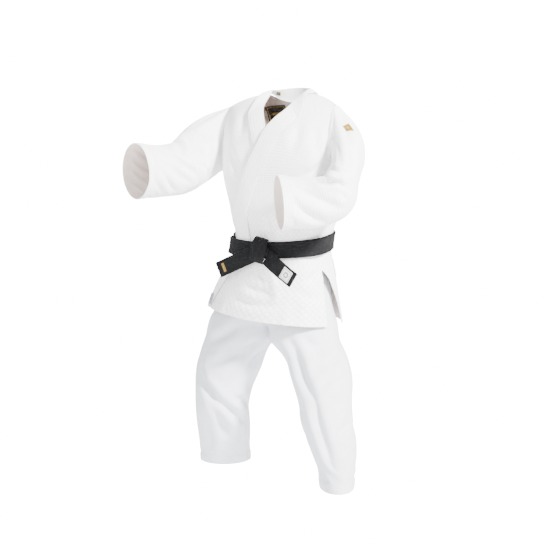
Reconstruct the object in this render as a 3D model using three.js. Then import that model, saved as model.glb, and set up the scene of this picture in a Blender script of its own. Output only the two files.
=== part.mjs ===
// Judo uniform as worn: jacket, black belt and trousers, each cloth panel its own solid.
// Millimetres. +Z up, the wearer faces -Y, the wearer's left is +X.
// Origin: centre of the neck opening, level with the tops of the shoulders.
import * as THREE from 'three';

// ---------------------------------------------------------------- driving sizes
const CLOTH = 2.2;            // thickness of the woven cotton
const BAND = 4.0;             // thickness of the stuffed lapel band
const GAP = 0.4;              // clearance between pieces that meet edge to edge
const LOOSE = 1.6;            // air between layers that lie over each other
const CHEST_HALF = 174;       // half width of the jacket at the chest
const CHEST_DEPTH = 122;      // half depth of the jacket at the chest
const WAIST_HALF = 143;       // half width where the belt draws the jacket in
const WAIST_DEPTH = 108;
const HEM_HALF = 205;         // half width of the skirt at its hem
const HEM_DEPTH = 148;
const SHOULDER_Z = 12;        // top of the shoulder beside the neck
const ARMPIT_Z = -205;
const SEAM_Z = -324;          // seam between the upper jacket and the skirt cloth
const BELT_Z = -415;          // belt centre line at the sides
const SKIRT_LENGTH = 217;     // belt centre line to the mean hem
const NECK_HALF = 62;         // half width of the neck opening
const LAPEL_WIDTH = 45;
const BELT_WIDTH = 44;
const BELT_THICK = 3.2;
const BELT_DIP = 18;          // the belt sits this much lower in front
const KNOT_X = -24;
const TAIL_LENGTH = 98;       // free length of each belt end
const SLEEVE_GIRTH = 1.0;     // scale of the sleeve sections
const LEG_GIRTH = 1.0;        // scale of the leg sections
const HEM_FOLD = 28;          // turned-up hem on cuffs and trouser legs
const TROUSER_HALF = 121;     // half width of the trouser waist
const TROUSER_DEPTH = 92;
const CROTCH_Z = -704;
const TROUSER_HEM_Z = -1100;

// ---------------------------------------------------------------- colours
const WHITE = 0xf3f2ee;
const COOL_WHITE = 0xe9ebf0;
const BLACK = 0x17181b;
const GOLD = 0xc9a13a;

// ---------------------------------------------------------------- small maths
const rad = (deg) => (deg * Math.PI) / 180;
const mix = (a, b, t) => a + (b - a) * t;
const clamp = (x, lo, hi) => Math.min(hi, Math.max(lo, x));
const smooth = (x, lo, hi) => {
  const t = clamp((x - lo) / (hi - lo), 0, 1);
  return t * t * (3 - 2 * t);
};
const spow = (x, p) => Math.sign(x) * Math.abs(x) ** p;
const mix3 = (a, b, t) => a.map((v, i) => mix(v, b[i], t));
const add3 = (a, b, k = 1) => a.map((v, i) => v + k * b[i]);
const unit3 = (a) => { const n = Math.hypot(...a) || 1; return a.map((v) => v / n); };
const cross3 = (a, b) => [
  a[1] * b[2] - a[2] * b[1], a[2] * b[0] - a[0] * b[2], a[0] * b[1] - a[1] * b[0]];
const dot3 = (a, b) => a[0] * b[0] + a[1] * b[1] + a[2] * b[2];

// Smooth curve through rows of numbers: key is the first number of every row.
function through(rows, key) {
  let i = 0;
  while (i < rows.length - 2 && (rows[i + 1][0] - key) * (rows[0][0] - rows[1][0]) > 0) i += 1;
  const at = (k) => rows[clamp(k, 0, rows.length - 1)];
  const [p0, p1, p2, p3] = [at(i - 1), at(i), at(i + 1), at(i + 2)];
  const t = clamp((key - p1[0]) / (p2[0] - p1[0]), 0, 1);
  return p1.slice(1).map((_, j) => {
    const k = j + 1;
    const m1 = (p2[k] - p0[k]) / ((p2[0] - p0[0]) || 1) * (p2[0] - p1[0]);
    const m2 = (p3[k] - p1[k]) / ((p3[0] - p1[0]) || 1) * (p2[0] - p1[0]);
    return (2 * t ** 3 - 3 * t * t + 1) * p1[k] + (t ** 3 - 2 * t * t + t) * m1
      + (3 * t * t - 2 * t ** 3) * p2[k] + (t ** 3 - t * t) * m2;
  });
}
const line = (rows, key) => {
  let i = 0;
  while (i < rows.length - 2 && (rows[i + 1][0] - key) * (rows[0][0] - rows[1][0]) > 0) i += 1;
  const t = clamp((key - rows[i][0]) / (rows[i + 1][0] - rows[i][0]), 0, 1);
  return mix(rows[i][1], rows[i + 1][1], t);
};

// ---------------------------------------------------------------- solid builders
const group = new THREE.Group();
group.name = 'martial_arts_uniform';

function addMesh(name, positions, index, colour) {
  const geometry = new THREE.BufferGeometry();
  geometry.setAttribute('position', new THREE.Float32BufferAttribute(positions.flat(), 3));
  let volume = 0;
  for (let i = 0; i < index.length; i += 3) {
    const [a, b, c] = [positions[index[i]], positions[index[i + 1]], positions[index[i + 2]]];
    volume += dot3(a, cross3(b, c));
  }
  const faces = volume < 0 ? index.slice().reverse() : index;
  geometry.setIndex(faces);
  geometry.computeVertexNormals();
  const material = new THREE.MeshStandardMaterial({ color: colour, roughness: 0.9 });
  material.name = `${name}_material`;
  const mesh = new THREE.Mesh(geometry, material);
  mesh.name = name;
  group.add(mesh);
}

// A sheet of cloth with real thickness. at(u, v, side) gives a point; side 0 is the inner
// face and side 1 the outer one. A closed sheet wraps round in u into a tube or ring.
function cloth(name, at, nu, nv, colour, closed = false) {
  const points = [];
  const columns = closed ? nu : nu + 1;
  for (const side of [0, 1]) {
    for (let j = 0; j <= nv; j += 1) {
      for (let i = 0; i < columns; i += 1) points.push(at(i / nu, j / nv, side));
    }
  }
  const id = (side, i, j) => side * columns * (nv + 1) + j * columns + (i % columns);
  const index = [];
  const quad = (a, b, c, d) => index.push(a, b, c, a, c, d);
  for (let j = 0; j < nv; j += 1) {
    for (let i = 0; i < nu; i += 1) {
      quad(id(1, i, j), id(1, i + 1, j), id(1, i + 1, j + 1), id(1, i, j + 1));
      quad(id(0, i, j), id(0, i, j + 1), id(0, i + 1, j + 1), id(0, i + 1, j));
    }
  }
  for (let i = 0; i < nu; i += 1) {
    quad(id(0, i, 0), id(0, i + 1, 0), id(1, i + 1, 0), id(1, i, 0));
    quad(id(1, i, nv), id(1, i + 1, nv), id(0, i + 1, nv), id(0, i, nv));
  }
  if (!closed) {
    for (let j = 0; j < nv; j += 1) {
      quad(id(1, 0, j), id(1, 0, j + 1), id(0, 0, j + 1), id(0, 0, j));
      quad(id(0, nu, j), id(0, nu, j + 1), id(1, nu, j + 1), id(1, nu, j));
    }
  }
  addMesh(name, points, index, colour);
}

// ---------------------------------------------------------------- the body of the jacket
const CHEST_X = -24;          // the chest is shifted a little to the wearer's right
const HEM_Z = BELT_Z - SKIRT_LENGTH;
// height, centre x, half width, half depth, squareness of the section
const TORSO = [
  [60, CHEST_X, CHEST_HALF, CHEST_DEPTH, 0.72],
  [ARMPIT_Z, CHEST_X, CHEST_HALF, CHEST_DEPTH, 0.72],
  [SEAM_Z, CHEST_X + 6, mix(WAIST_HALF, CHEST_HALF, 0.62), mix(WAIST_DEPTH, CHEST_DEPTH, 0.7), 0.9],
  [BELT_Z - 6, -22, WAIST_HALF, WAIST_DEPTH, 0.95],
  [mix(BELT_Z, HEM_Z, 0.5), -35, mix(WAIST_HALF, HEM_HALF, 0.46), mix(WAIST_DEPTH, HEM_DEPTH, 0.5), 0.95],
  [HEM_Z - 30, -50, HEM_HALF + 4, HEM_DEPTH + 3, 0.95],
];
const SHOULDER_SPAN = CHEST_HALF - 5;   // armhole distance from the middle of the chest
const SHOULDER_DROP = { left: 44, right: 20 };

const ridgeHeight = (x) => {
  const out = Math.abs(x) - NECK_HALF + 10;
  const span = SHOULDER_SPAN - NECK_HALF;
  const drop = x > 0 ? SHOULDER_DROP.left : SHOULDER_DROP.right;
  return SHOULDER_Z - drop * clamp(out / span, 0, 1.3) ** 2;
};

// angle 0 is the front or back middle and +90 the wearer's left. level runs from -1 (waist
// seam) through 0 (armpit) to 1 (shoulder ridge). face is -1 for the front, +1 for the back.
function upper(angle, level, off, face) {
  if (level <= 0) return lower(angle, mix(ARMPIT_Z, SEAM_Z, -level), off, face);
  const [cx, half, depth, square] = through(TORSO, ARMPIT_Z);
  const x = cx + (half + off) * spow(Math.sin(rad(angle)), square);
  const z = mix(ARMPIT_Z, ridgeHeight(x) + off, level);
  const dome = Math.sqrt(Math.max(0, 1 - level ** 2.2));
  const y = face * ((depth + off) * spow(Math.cos(rad(angle)), square) * dome + GAP / 2);
  return [x, y, z];
}
function lower(angle, z, off, face) {
  const [cx, half, depth, square] = through(TORSO, z);
  return [
    cx + (half + off) * spow(Math.sin(rad(angle)), square),
    face * ((depth + off) * Math.max(0, Math.cos(rad(angle))) ** square + GAP / 2), z];
}
const angleAt = (x, z) => {
  const [cx, half, , square] = through(TORSO, Math.min(z, 60));
  return (Math.asin(clamp(spow((x - cx) / half, 1 / square), -1, 1)) * 180) / Math.PI;
};
const levelOf = (z) => (z > ARMPIT_Z
  ? (z - ARMPIT_Z) / (SHOULDER_Z - ARMPIT_Z) : -(z - ARMPIT_Z) / (SEAM_Z - ARMPIT_Z));
const zOf = (level) => (level > 0
  ? mix(ARMPIT_Z, SHOULDER_Z, level) : mix(ARMPIT_Z, SEAM_Z, -level));

// Free edge of each lapel: height then x.
const CROSS_Z = -98;
const OUTER_EDGE = [[SHOULDER_Z, NECK_HALF], [-40, 30], [CROSS_Z, -20], [ARMPIT_Z, -72],
  [SEAM_Z, -118], [BELT_Z, -108]];
const INNER_EDGE = [[SHOULDER_Z, -NECK_HALF], [-40, -44], [CROSS_Z, -20], [ARMPIT_Z, 22],
  [SEAM_Z, 58], [BELT_Z, 62]];
const SIDE = 90 - 0.08;       // side seam, leaving the clearance between front and back
const ARM_ANGLE = (Math.asin((SHOULDER_SPAN / CHEST_HALF) ** (1 / 0.72)) * 180) / Math.PI;

// Rows from the waist seam up to the shoulder: the side seam, then round the armhole.
const ARC_START = 0.42;
const ARC_END = 0.72;
const ARM_LEVEL = 0.3;
function sideLine(v) {
  if (v < ARC_START) return [SIDE, mix(-1, 0, v / ARC_START)];
  if (v < ARC_END) {
    const a = ((v - ARC_START) / (ARC_END - ARC_START)) * 90;
    return [mix(SIDE, ARM_ANGLE, Math.sin(rad(a))), ARM_LEVEL * (1 - Math.cos(rad(a)))];
  }
  return [ARM_ANGLE, mix(ARM_LEVEL, 1, (v - ARC_END) / (1 - ARC_END))];
}
const rowLevel = (v) => (v < ARC_START ? mix(-1, 0, v / ARC_START)
  : mix(0, 1, (v - ARC_START) / (1 - ARC_START)));

// Layer heights over the base surface.
const INNER_LAPEL = CLOTH + LOOSE;
const OUTER_LIFT = INNER_LAPEL + BAND + LOOSE;       // outer front lies over the inner lapel
const OUTER_LAPEL = OUTER_LIFT + CLOTH + LOOSE;
const LIFT_FROM = 66;
const LIFT_TO = 44;
const outerLift = (angle, level) => OUTER_LIFT * (1 - smooth(angle, LIFT_TO, LIFT_FROM))
  * (1 - smooth(level, 0.3, 0.62));

// ---------------------------------------------------------------- upper jacket panels
const EDGE_INSET = LAPEL_WIDTH - 10;   // panels stop this far inside the lapel's free edge
const BAND_TOP = -34;         // the flat part of the lapels ends here and the collar begins
const COLLAR_BASE = NECK_HALF + 10;
const panelEdge = (sign, edge, z) => {
  if (z < BAND_TOP) return line(edge, z) + sign * EDGE_INSET;
  const t = (z - BAND_TOP) / (SHOULDER_Z - BAND_TOP);
  return mix(line(edge, BAND_TOP) + sign * EDGE_INSET, sign * (COLLAR_BASE - 5), t);
};
const onFront = (x, z, off) => {
  const level = (z - ARMPIT_Z) / (ridgeHeight(x) - ARMPIT_Z);
  if (z < SEAM_Z) return lower(angleAt(x, z), z, off, -1);
  return upper(angleAt(x, z), z > ARMPIT_Z ? Math.min(0.998, level) : levelOf(z), off, -1);
};
function frontUpper(name, sign, edge, lift) {
  cloth(name, (u, v, side) => {
    const [sideAngle, sideLevel] = sideLine(v);
    const level = rowLevel(v);
    const z = zOf(level);
    const x = panelEdge(sign, edge, z);
    const a = mix(angleAt(x, z), sign * sideAngle, u);
    const off = lift(a, level) + side * CLOTH;
    return upper(a, mix(level, sideLevel, u), off, -1);
  }, 10, 12, WHITE);
}
frontUpper('jacket_front_left', 1, OUTER_EDGE, outerLift);
frontUpper('jacket_front_right', -1, INNER_EDGE, () => 0);

const NECK_BACK_LEVEL = 0.885;
cloth('jacket_back', (u, v, side) => {
  const w = 2 * u - 1;
  const [sideAngle, sideLevel] = sideLine(v);
  const a = w * sideAngle;
  const level = mix(rowLevel(v), sideLevel, w * w);
  const x = CHEST_X + CHEST_HALF * spow(Math.sin(rad(a)), 0.72);
  const dip = (1 - NECK_BACK_LEVEL) * Math.sqrt(Math.max(0, 1 - (x / (NECK_HALF + 6)) ** 2));
  const top = 1 - dip;
  return upper(a, level > 0 ? level * top : level, side * CLOTH, 1);
}, 16, 12, WHITE);

// ---------------------------------------------------------------- lapels and collar
// The band runs flat along the edge of each front, then stands up round the neck.
const STAND = 42;             // height of the collar behind the neck
const COLLAR_DIP = 0.145;     // how far the collar seam drops at the back of the neck
function bandOnFront(sign, edge, low, high, base) {
  return (u, v, side) => {
    const z = mix(low, high, v);
    const x = line(edge, z);
    const slope = (line(edge, z + 6) - line(edge, z - 6)) / 12;
    const n = Math.hypot(1, slope);
    const px = x + (sign * u * LAPEL_WIDTH) / n;
    const pz = z - (sign * u * LAPEL_WIDTH * slope) / n;
    return onFront(px, pz, base(levelOf(z)) + side * BAND);
  };
}
const BELT_TOP_FRONT = BELT_Z - BELT_DIP + BELT_WIDTH / 2 + 4;
const onLeft = bandOnFront(1, OUTER_EDGE, BELT_TOP_FRONT - 40, BAND_TOP,
  (level) => mix(OUTER_LAPEL, INNER_LAPEL, smooth(level, 0.6, 0.82)));
const onRight = bandOnFront(-1, INNER_EDGE, BELT_TOP_FRONT - 40, BAND_TOP,
  () => INNER_LAPEL);
cloth('lapel_left', onLeft, 4, 15, WHITE);
cloth('lapel_right', onRight, 4, 15, WHITE);

// Collar: from the top of one lapel, round the back of the neck, to the other.
const COLLAR_ROUND = 2.6;     // swell of the band across its width at the front of the neck
function collarPoint(u, v, side) {
  const turn = mix(-1, 1, v);            // -1 right front, 0 back, +1 left front
  const k = Math.abs(turn);
  const sign = Math.sign(turn) || 1;
  const around = rad(Math.min(1, k / 0.56) * 90);
  const q = clamp((k - 0.56) / 0.44, 0, 1);
  const out = side * BAND;
  const band = sign > 0 ? onLeft : onRight;
  const lift = [0, -1, GAP + 2.4];
  const rimSide = [sign * (NECK_HALF - 2 + out) * Math.sin(around),
    6 + (NECK_HALF - 6 + out) * Math.cos(around), STAND - 12 - 8 * Math.sin(around) ** 2];
  const rim = mix3(rimSide, add3(band(0, 1, side), lift), q);
  const end = band(1, 1, side);
  let foot;
  if (q > 0) {
    const x = mix(sign * COLLAR_BASE, end[0], q);
    foot = onFront(x, mix(ridgeHeight(x), end[2], q), INNER_LAPEL + 2 + out);
    foot = mix3(foot, add3(end, lift), smooth(q, 0.4, 1));
  } else {
    const x = sign * COLLAR_BASE * Math.sin(around);
    foot = upper(angleAt(x, 0), 1 - COLLAR_DIP * Math.cos(around), INNER_LAPEL + 2 + out, 1);
  }
  const swell = COLLAR_ROUND * 4 * u * (1 - u) * smooth(q, 0, 0.3) + 1.6 * smooth(q, 0, 0.2);
  return add3(mix3(rim, foot, u), [0, -0.8, 0.6], swell);
}
cloth('collar', collarPoint, 4, 26, WHITE);

// ---------------------------------------------------------------- jacket below the waist seam
const beltCentre = (angle, face) => BELT_Z + face * BELT_DIP * Math.cos(rad(angle));
const VENT_TOP = -493;
const FLAP_TOP = BELT_WIDTH / 2 + 6;   // cloth free to swing starts this far under the belt
const hemAt = (x) => HEM_Z - 0.1 * (x + 50);
const SEAM_GAP = 0.5;
const OUTER_HEM_ANGLE = -70;
const INNER_HEM_ANGLE = 44;
const beltEdge = (edge, z) => angleAt(line(edge, z), z);

function waistPanel(name, face, from, to, lift, nu) {
  cloth(name, (u, v, side) => {
    const angle = (z) => mix(from(z), to(z), u);
    const low = beltCentre(angle(BELT_Z), face) - FLAP_TOP + SEAM_GAP / 2;
    const z = mix(SEAM_Z - SEAM_GAP, low, v);
    const a = angle(z);
    return lower(a, z, lift(a, -1) + side * CLOTH, face);
  }, nu, 4, WHITE);
}
const inset = (edge, sign) => (z) => angleAt(line(edge, z) + sign * EDGE_INSET, z);
waistPanel('waist_front_left', -1, inset(OUTER_EDGE, 1), () => SIDE, outerLift, 10);
waistPanel('waist_front_right', -1, () => -SIDE, inset(INNER_EDGE, -1), () => 0, 10);
waistPanel('waist_back', 1, () => -SIDE, () => SIDE, () => 0, 14);

// Swinging skirt: the fronts and the back are separate below the belt, parted by the vents.
const VENT_FRONT = 71;
const VENT_BACK = 76;
function skirtPanel(name, face, from, to, lift, nu) {
  cloth(name, (u, v, side) => {
    const a0 = mix(from(0), to(0), u);
    const top = beltCentre(a0, face) - FLAP_TOP - SEAM_GAP / 2;
    const probe = mix(from(1), to(1), u);
    const bottom = hemAt(lower(probe, HEM_Z, 0, face)[0]);
    const z = mix(top, bottom, v);
    const a = mix(from(v), to(v), u);
    return lower(a, z, lift(a) + side * CLOTH, face);
  }, nu, 6, WHITE);
}
const outerSkirtFrom = (v) => mix(beltEdge(OUTER_EDGE, BELT_Z) + 4, OUTER_HEM_ANGLE, v ** 0.8);
const innerSkirtTo = (v) => mix(beltEdge(INNER_EDGE, BELT_Z) - 4, INNER_HEM_ANGLE - 6, v);
const skirtLift = (a) => OUTER_LIFT * (1 - smooth(a, LIFT_TO - 4, VENT_FRONT));
skirtPanel('skirt_front_left', -1, outerSkirtFrom, () => VENT_FRONT, skirtLift, 12);
skirtPanel('skirt_front_right', -1, () => -VENT_FRONT, innerSkirtTo, () => 0, 10);
skirtPanel('skirt_back', 1, () => -VENT_BACK, () => VENT_BACK, () => 0, 14);

// Lapel bands carried on down the free edges of the skirt.
function skirtBand(name, sign, from, base) {
  cloth(name, (u, v, side) => {
    const z0 = BELT_Z - BELT_DIP - FLAP_TOP - 2;
    const z = mix(z0, hemAt(lower(from(1), HEM_Z, 0, -1)[0]) + 1, v);
    const [, half] = through(TORSO, z);
    const a = from(v) + sign * (((LAPEL_WIDTH * u - 6) / half) * 180) / Math.PI;
    return lower(a, z, base + side * BAND, -1);
  }, 3, 6, WHITE);
}
skirtBand('skirt_lapel_left', 1, outerSkirtFrom, OUTER_LAPEL);
skirtBand('skirt_lapel_right', -1, innerSkirtTo, INNER_LAPEL);

// Reinforcing patches over the tops of the two vents, stitched to the back.
for (const [word, sign] of [['left', 1], ['right', -1]]) {
  cloth(`vent_patch_${word}`, (u, v, side) => {
    const a = sign * mix(VENT_BACK - 1, VENT_BACK - 17, u);
    const z = mix(VENT_TOP + 24, VENT_TOP - 24, v);
    return lower(a, z, CLOTH + GAP + side * 1.6, 1);
  }, 3, 3, WHITE);
}

// ---------------------------------------------------------------- sleeves
// Stations: fraction along the sleeve, centre, direction of the upper side, half height,
// half width. Centres are given from the middle of the armhole.
const ARMS = {
  left: {
    sign: 1,
    stations: [
      [0.0, 0, 0, 0, 0.1, 0, 1, 88, 66],
      [0.12, 50, -14, -18, 0.6, 0, 0.8, 62, 56],
      [0.26, 70, -56, -54, 0.95, 0.2, 0.2, 41, 60],
      [0.42, 72, -91, -102, 0.97, 0.2, -0.3, 43, 66],
      [0.58, 56, -118, -154, 0.75, -0.1, -0.65, 62, 66],
      [0.72, 18, -152, -171, 0.45, -0.3, -0.85, 70, 60],
      [0.86, -22, -186, -176, 0.38, -0.36, -0.85, 72, 56],
      [1.0, -64, -221, -178, 0.38, -0.36, -0.85, 77, 58],
    ],
    elbow: [0.44, 0.74],
    root: 0.12,
  },
  right: {
    sign: -1,
    stations: [
      [0.0, 0, 0, 0, 0, 0, 1, 88, 66],
      [0.14, -54, -40, -14, -0.1, -0.1, 1, 86, 54],
      [0.3, -71, -90, -46, -0.1, -0.2, 1, 84, 60],
      [0.46, -64, -140, -63, -0.1, -0.2, 1, 82, 62],
      [0.62, -60, -194, -82, 0, -0.1, 1, 76, 62],
      [0.8, -84, -264, -91, 0, 0, 1, 71, 60],
      [1.0, -114, -344, -94, 0, 0, 1, 76, 62],
    ],
    elbow: [0.44, 0.64],
    root: 0.14,
  },
};

// Point of the armhole at parameter s: 0 the shoulder ridge, down the front, 0.5 the armpit.
function armhole(sign, s, off) {
  const face = s < 0.5 ? -1 : 1;
  const down = s < 0.5 ? 2 * s : 2 * (1 - s);
  const v = down < 0.62 ? mix(1, ARC_END, down / 0.62)
    : mix(ARC_END, ARC_START, (down - 0.62) / 0.38);
  const [angle, level] = sideLine(v);
  const p = upper(sign * angle, level, off, face);
  return down > 0.999 || down < 0.001 ? [p[0], 0, p[2]] : p;
}
const armholeCentre = (sign) => {
  const top = armhole(sign, 0, 0);
  const bottom = armhole(sign, 0.5, 0);
  return [CHEST_X + sign * SHOULDER_SPAN, 0, mix(bottom[2], top[2], 0.5)];
};

const ARMHOLE_GAP = 2.8;
function sleevePoint(arm, s, t, off) {
  const centre = armholeCentre(arm.sign);
  const [x, y, z, ux, uy, uz, high, wide] = through(arm.stations, t);
  const ahead = through(arm.stations, Math.min(1, t + 0.01));
  const behind = through(arm.stations, Math.max(0, t - 0.01));
  const along = unit3([0, 1, 2].map((i) => ahead[i] - behind[i]));
  const rough = [ux, uy, uz];
  const up = unit3(add3(rough, along, -dot3(rough, along)));
  const front = unit3(cross3(along, up)).map((c) => c * arm.sign);
  const angle = 2 * Math.PI * s;
  const h = (high * SLEEVE_GIRTH + off) * Math.cos(angle);
  const w = (wide * SLEEVE_GIRTH + off) * Math.sin(angle);
  const ring = add3(add3(add3(centre, [x, y, z]), up, h), front, w);
  const seam = armhole(arm.sign, s, off);
  seam[0] += arm.sign * ARMHOLE_GAP;
  return mix3(seam, ring, 1 - (1 - clamp(t / 0.26, 0, 1)) ** 2);
}
function sleevePiece(name, arm, t0, t1, from, to, rows, ring = 16) {
  cloth(name, (u, v, side) => sleevePoint(arm, u, mix(t0, t1, v), mix(from, to, side)),
    ring, rows, WHITE, true);
}
const JOINT_GAP = 0.004;
const GATHER_REACH = 0.97;    // the gathered cloth stops just short of the sleeve it feeds
for (const [word, arm] of Object.entries(ARMS)) {
  const [e0, e1] = arm.elbow;
  const fold = HEM_FOLD / 420;
  cloth(`${word}_shoulder_gather`, (u, v, side) => {
    const root = sleevePoint(arm, u, arm.root, side * CLOTH);
    return mix3(sleevePoint(arm, u, 0, side * CLOTH), root, v * GATHER_REACH);
  }, 16, 3, WHITE, true);
  sleevePiece(`${word}_upper_sleeve`, arm, arm.root, e0, 0, CLOTH, 4);
  sleevePiece(`${word}_elbow_gather`, arm, e0 + JOINT_GAP, e1 - JOINT_GAP, 0, CLOTH, 5);
  sleevePiece(`${word}_lower_sleeve`, arm, e1, 1, 0, CLOTH, 4);
  sleevePiece(`${word}_cuff_hem`, arm, 1 - fold, 1, -CLOTH - GAP, -GAP, 1);
}

// ---------------------------------------------------------------- belt
// Cloth that the belt has to pass over, by angle round the waist.
const beltBase = (angle, face) => {
  if (face > 0) return CLOTH + LOOSE;
  const edge = beltEdge(OUTER_EDGE, BELT_Z);
  const over = smooth(angle, edge - 26, edge - 10) * (1 - smooth(angle, LIFT_TO + 10, 88));
  const bandLift = smooth(angle, edge - 26, edge - 10) * (1 - smooth(angle, edge + 26, edge + 44));
  return CLOTH + LOOSE + (OUTER_LAPEL - CLOTH) * over + (BAND + LOOSE) * bandLift;
};
function beltWrap(name, inner) {
  cloth(name, (u, v, side) => {
    const turn = 360 * u;                        // 0 front, 90 left side, 180 back
    const face = turn <= 90 || turn >= 270 ? -1 : 1;
    const raw = turn > 180 ? turn - 360 : turn;
    const angle = face < 0 ? raw : Math.sign(raw) * (180 - Math.abs(raw));
    const z = beltCentre(angle, face) + (v - 0.5) * BELT_WIDTH;
    const off = beltBase(angle, face) + inner + side * BELT_THICK;
    const p = lower(angle, z, off, face);
    if (Math.abs(Math.abs(angle) - 90) < 1e-6) p[1] = 0;
    return p;
  }, 40, 1, BLACK, true);
}
beltWrap('belt_first_turn', 0);
beltWrap('belt_second_turn', BELT_THICK + GAP + 0.2);

// Knot: a hump of belt over both turns, and a bar under it that the two ends come out of.
const KNOT_Z = beltCentre(0, -1);
const beltFace = (x) => {
  const a = angleAt(x, KNOT_Z);
  const off = beltBase(a, -1) + 2 * BELT_THICK + GAP;
  return lower(a, KNOT_Z, off, -1)[1];
};
const BELT_FRONT = Math.min(...[-42, -34, -26, -18, -10, -2, 6, 14, 22, 30, 38].map(
  (d) => beltFace(KNOT_X + d))) - 2 * LOOSE;
const KNOT_BAR = 9;           // depth of the crossing under the hump
const tilt = rad(14);
function knotPlace(across, high, out) {
  return [KNOT_X + across * Math.cos(tilt) + high * Math.sin(tilt),
    BELT_FRONT - GAP - out, KNOT_Z - across * Math.sin(tilt) + high * Math.cos(tilt)];
}
cloth('knot_crossing', (u, v, side) => {
  const across = (u - 0.5) * 58;
  const high = (v - 0.5) * 30;
  const round = Math.sqrt(Math.max(0.05, 1 - (2 * u - 1) ** 4));
  return knotPlace(across, high, side * KNOT_BAR * round);
}, 6, 3, BLACK);
cloth('knot_wrap', (u, v, side) => {
  const across = (u - 0.5) * (BELT_WIDTH + 4);
  const path = rad(mix(-8, 188, v));
  const radius = side * BELT_THICK;
  const high = Math.cos(path) * (BELT_WIDTH / 2 + 11 + radius);
  const out = Math.max(0, Math.sin(path)) ** 0.5 * (KNOT_BAR + LOOSE + radius);
  return knotPlace(across, high, out);
}, 4, 12, BLACK);

// Free ends: each leaves the knot outwards and down, with its cut end square.
const TAILS = {
  left: { base: [38, -8, -28], along: [80, -16, -50] },
  right: { base: [-36, -8, -20], along: [-82, -12, -38] },
};
const tailFrame = (tail) => {
  const along = unit3(tail.along);
  const across = unit3(cross3(along, [0, -1, 0]));
  const out = unit3(cross3(across, along));
  const sign = Math.sign(-out[1]) || 1;
  return { along, across, out: out.map((c) => c * sign) };
};
const tailStart = (tail) => [KNOT_X + tail.base[0], BELT_FRONT + tail.base[1], KNOT_Z + tail.base[2]];
function onTail(tail, distance, offset, height) {
  const { along, across, out } = tailFrame(tail);
  const start = tailStart(tail);
  const sag = 3 * Math.sin((Math.PI * distance) / TAIL_LENGTH);
  return add3(add3(add3(start, along, distance), across, offset), out, height + sag);
}
function tailPiece(name, tail, from, to, halfWidth, low, high, rows, colour) {
  cloth(name, (u, v, side) => onTail(tail, mix(from, to, v), mix(-halfWidth, halfWidth, u),
    mix(low, high, side)), 2, rows, colour);
}
const LABEL = 0.8;
for (const [word, tail] of Object.entries(TAILS)) {
  tailPiece(`belt_end_${word}`, tail, 0, TAIL_LENGTH, BELT_WIDTH / 2, 0, BELT_THICK, 8, BLACK);
}
tailPiece('belt_end_patch', TAILS.left, TAIL_LENGTH - 44, TAIL_LENGTH - 10, BELT_WIDTH / 2 - 4,
  BELT_THICK + GAP, BELT_THICK + GAP + LABEL, 3, WHITE);
tailPiece('belt_end_bar', TAILS.right, TAIL_LENGTH - 24, TAIL_LENGTH - 16, BELT_WIDTH / 2 - 8,
  BELT_THICK + GAP, BELT_THICK + GAP + LABEL, 1, GOLD);

// ---------------------------------------------------------------- labels on the jacket
cloth('neck_label', (u, v, side) => {
  const x = mix(-100, -48, u);
  const z = mix(-64, -24, v);
  const a = angleAt(x, z);
  return upper(a, levelOf(z), -LOOSE - 0.6 - LABEL + side * LABEL, 1);
}, 5, 4, BLACK);
cloth('size_tab', (u, v, side) => {
  const p = collarPoint(mix(0.55, 0.85, v), mix(0.24, 0.28, u), 0);
  const inward = unit3([-p[0], 6 - p[1], 0]);
  return add3(p, inward, 1.5 + (1 - side) * LABEL);
}, 2, 2, BLACK);
cloth('shoulder_mark', (u, v, side) => {
  const t = mix(0.13, 0.16, v);
  return sleevePoint(ARMS.left, mix(0.08, 0.14, u), t, CLOTH + 1.75 + side * LABEL);
}, 3, 2, GOLD);
cloth('hem_label', (u, v, side) => {
  const a = mix(OUTER_HEM_ANGLE + 3, OUTER_HEM_ANGLE + 12, u);
  const z = mix(hemAt(-230) + 14, hemAt(-230) + 46, v);
  return lower(a, z, OUTER_LAPEL + BAND + GAP + side * LABEL, -1);
}, 2, 3, WHITE);

// ---------------------------------------------------------------- trousers
const TROUSER_TOP = BELT_Z + 26;
// height, centre x, half width, half depth
const HIPS = [
  [TROUSER_TOP, -20, TROUSER_HALF, TROUSER_DEPTH],
  [-470, -27, TROUSER_HALF + 8, TROUSER_DEPTH + 5],
  [-560, -38, TROUSER_HALF + 41, TROUSER_DEPTH + 18],
  [-640, -52, TROUSER_HALF + 67, TROUSER_DEPTH + 26],
  [CROTCH_Z - 60, -54, TROUSER_HALF + 79, TROUSER_DEPTH + 26],
];
// height, centre x, centre y, half width, half depth, turn of the section in degrees
const LEGS = {
  left: {
    sign: 1,
    rows: [
      [CROTCH_Z, 52, -8, 100, 104, 0],
      [-745, 100, -26, 92, 94, 0],
      [-800, 133, -55, 87, 88, 4],
      [-865, 158, -80, 74, 82, 10],
      [-920, 168, -88, 72, 82, 16],
      [-975, 184, -92, 68, 84, 22],
      [-1040, 199, -96, 54, 90, 28],
      [TROUSER_HEM_Z, 203, -100, 47, 94, 28],
    ],
  },
  right: {
    sign: -1,
    rows: [
      [CROTCH_Z, -162, 0, 107, 104, 0],
      [-745, -182, -10, 102, 94, 0],
      [-800, -194, -26, 100, 88, 0],
      [-865, -206, -36, 86, 82, 0],
      [-920, -214, -32, 78, 82, 0],
      [-975, -223, -10, 79, 78, 0],
      [-1040, -232, 15, 75, 78, 0],
      [TROUSER_HEM_Z, -241, 36, 75, 78, 0],
    ],
  },
};
const SEAT_END = CROTCH_Z - 14;
const THIGH_TOP = -756;
const KNEE = [-872, -936];    // gathered cloth between these heights

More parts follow.
